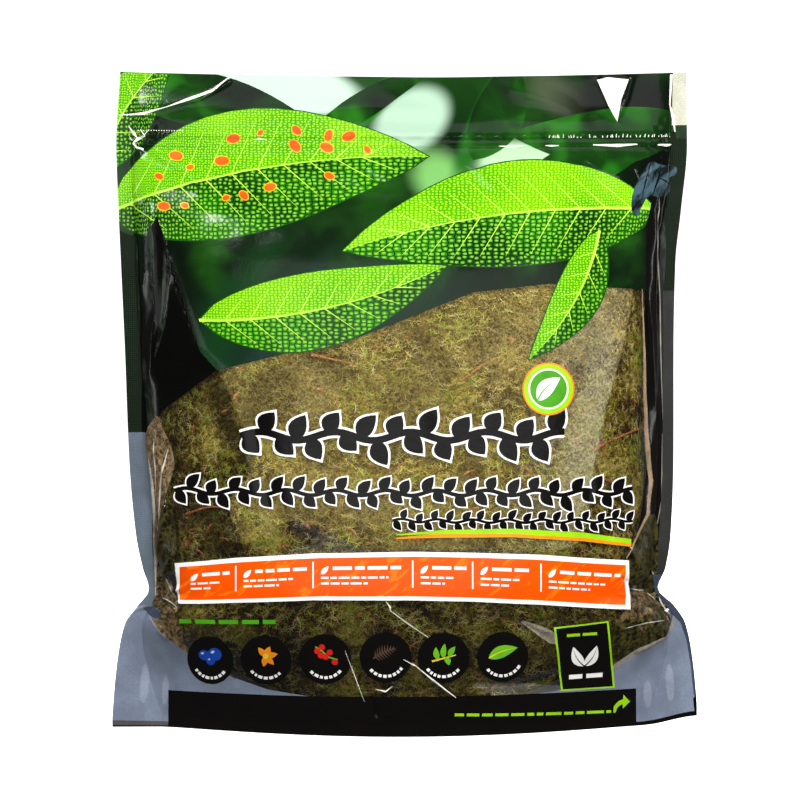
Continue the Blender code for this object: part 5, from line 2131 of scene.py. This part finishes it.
class MOSSPOUCH_OT_bits(bpy.types.Operator):
    """Make the loose straws and flakes of bark that lie among the moss."""

    bl_idname = "moss_pouch.bits"
    bl_label = "Loose bits"

    def execute(self, context):
        settings = context.scene.pouch_moss
        draw = random.Random(settings.seed + 500)
        places, faces = [], []
        for _ in range(settings.bits):
            x, z = draw.uniform(*BITS_ACROSS), draw.uniform(*BITS_UP)
            angle = draw.uniform(-1.2, 1.2)
            length = draw.uniform(3.0, 9.0)
            radius = draw.uniform(0.28, 0.62)
            if draw.random() < 0.2:
                length, radius = length * 0.6, radius * 2.6
            self.straw(places, faces, x, z, angle, length, radius)
        bits = make_object("bark_bits", np.array(places), faces, [bark()])
        settle(bits, "twig_bark")
        return {"FINISHED"}

    def straw(self, places, faces, x, z, angle, length, radius):
        """A flattened six-sided sliver, bent a little."""
        rings, sides = 5, 6
        first = len(places)
        along = np.array([math.cos(angle), 0.0, math.sin(angle)])
        aside = np.array([-math.sin(angle), 0.0, math.cos(angle)])
        for row in range(rings):
            t = row / (rings - 1)
            width = radius * (0.25 + math.sin(math.pi * (0.12 + 0.76 * t)))
            centre = np.array([x, 0.0, z]) + along * length * (t - 0.5)
            centre[1] = behind_film(centre[0], centre[2], BIT_ROOM)
            centre += aside * 0.12 * length * math.sin(math.pi * t)
            for cosine, sine in ring(sides):
                thin = 0.4 * sine * min(width, 0.9)
                places.append(centre + aside * width * cosine + np.array([0.0, thin, 0.0]))
        faces += tube_faces(rings, sides, first)


class MOSSPOUCH_OT_twigs(bpy.types.Operator):
    """Make the dry twigs that lie against the window."""

    bl_idname = "moss_pouch.twigs"
    bl_label = "Twigs"

    def execute(self, context):
        skin = bark()
        names = sorted(name for name in frame["nodes"] if name.startswith("twig_"))
        for number, name in enumerate(names):
            settle(self.twig(name, number, skin), "twig_bark", name)
        return {"FINISHED"}

    def twig(self, name, number, skin):
        """Follows the middle line of the node, kinked and knobbly, thinner towards its tip."""
        node = frame["nodes"][name]
        solid = np.array([tuple(v.co) for v in node.data.vertices]) / MM
        start = solid[np.argmin(solid[:, 0])]
        line = solid[np.argmax(solid[:, 0])] - start
        draw = random.Random(90 + number)
        last, sides = 22, 8
        length = np.linalg.norm(line)
        along = line / length
        aside = np.cross(along, (0.0, 1.0, 0.0))
        aside /= np.linalg.norm(aside)
        out = np.cross(along, aside)
        places = []
        for row in range(last + 1):
            t = row / last
            bend = 0.05 * length * math.sin(math.pi * t) + 0.25 * math.sin(9 * t + number)
            centre = start + line * t + aside * (bend if aside[2] > 0 else -bend)
            centre[1] = behind_film(centre[0], centre[2], TWIG_ROOM)
            knob = 1.0 + 0.35 * max(0.0, math.sin(13 * t + number)) ** 6
            radius = TWIG_RADIUS * (1.0 - 0.55 * t) * knob * (0.35 if row in (0, last) else 1.0)
            for cosine, sine in ring(sides):
                wobble = 1.0 + draw.uniform(-0.1, 0.1)
                places.append(centre + radius * wobble * (aside * cosine + out * sine))
        return make_object(f"{name}_bark", places, tube_faces(last + 1, sides), [skin])


class MOSSPOUCH_PT_panel(bpy.types.Panel):
    """Lists the sizes and the steps of the pouch."""

    bl_idname = "MOSSPOUCH_PT_panel"
    bl_label = "Moss Pouch"
    bl_space_type = "VIEW_3D"
    bl_region_type = "UI"
    bl_category = "Moss Pouch"

    def draw(self, context):
        layout = self.layout
        for group in (context.scene.pouch_film, context.scene.pouch_moss, context.scene.pouch_stage):
            box = layout.box()
            for name in group.__annotations__:
                box.prop(group, name)
        for step in STEPS:
            layout.operator(step.bl_idname)


SETTINGS = {"pouch_film": PouchFilmSettings, "pouch_moss": MossSettings, "pouch_stage": StageSettings}
STEPS = (
    MOSSPOUCH_OT_stage,
    MOSSPOUCH_OT_film,
    MOSSPOUCH_OT_gusset,
    MOSSPOUCH_OT_zip,
    MOSSPOUCH_OT_moss,
    MOSSPOUCH_OT_bits,
    MOSSPOUCH_OT_twigs,
)
CLASSES = (*SETTINGS.values(), *STEPS, MOSSPOUCH_PT_panel)


def register():
    for each in CLASSES:
        bpy.utils.register_class(each)
    for name, group in SETTINGS.items():
        setattr(bpy.types.Scene, name, PointerProperty(type=group))


def unregister():
    for name in SETTINGS:
        delattr(bpy.types.Scene, name)
    for each in reversed(CLASSES):
        bpy.utils.unregister_class(each)


def main():
    register()
    bpy.ops.moss_pouch.stage()
    bpy.ops.moss_pouch.film()
    bpy.ops.moss_pouch.gusset()
    bpy.ops.moss_pouch.zip()
    bpy.ops.moss_pouch.moss()
    bpy.ops.moss_pouch.bits()
    bpy.ops.moss_pouch.twigs()


if __name__ == "__main__":
    main()
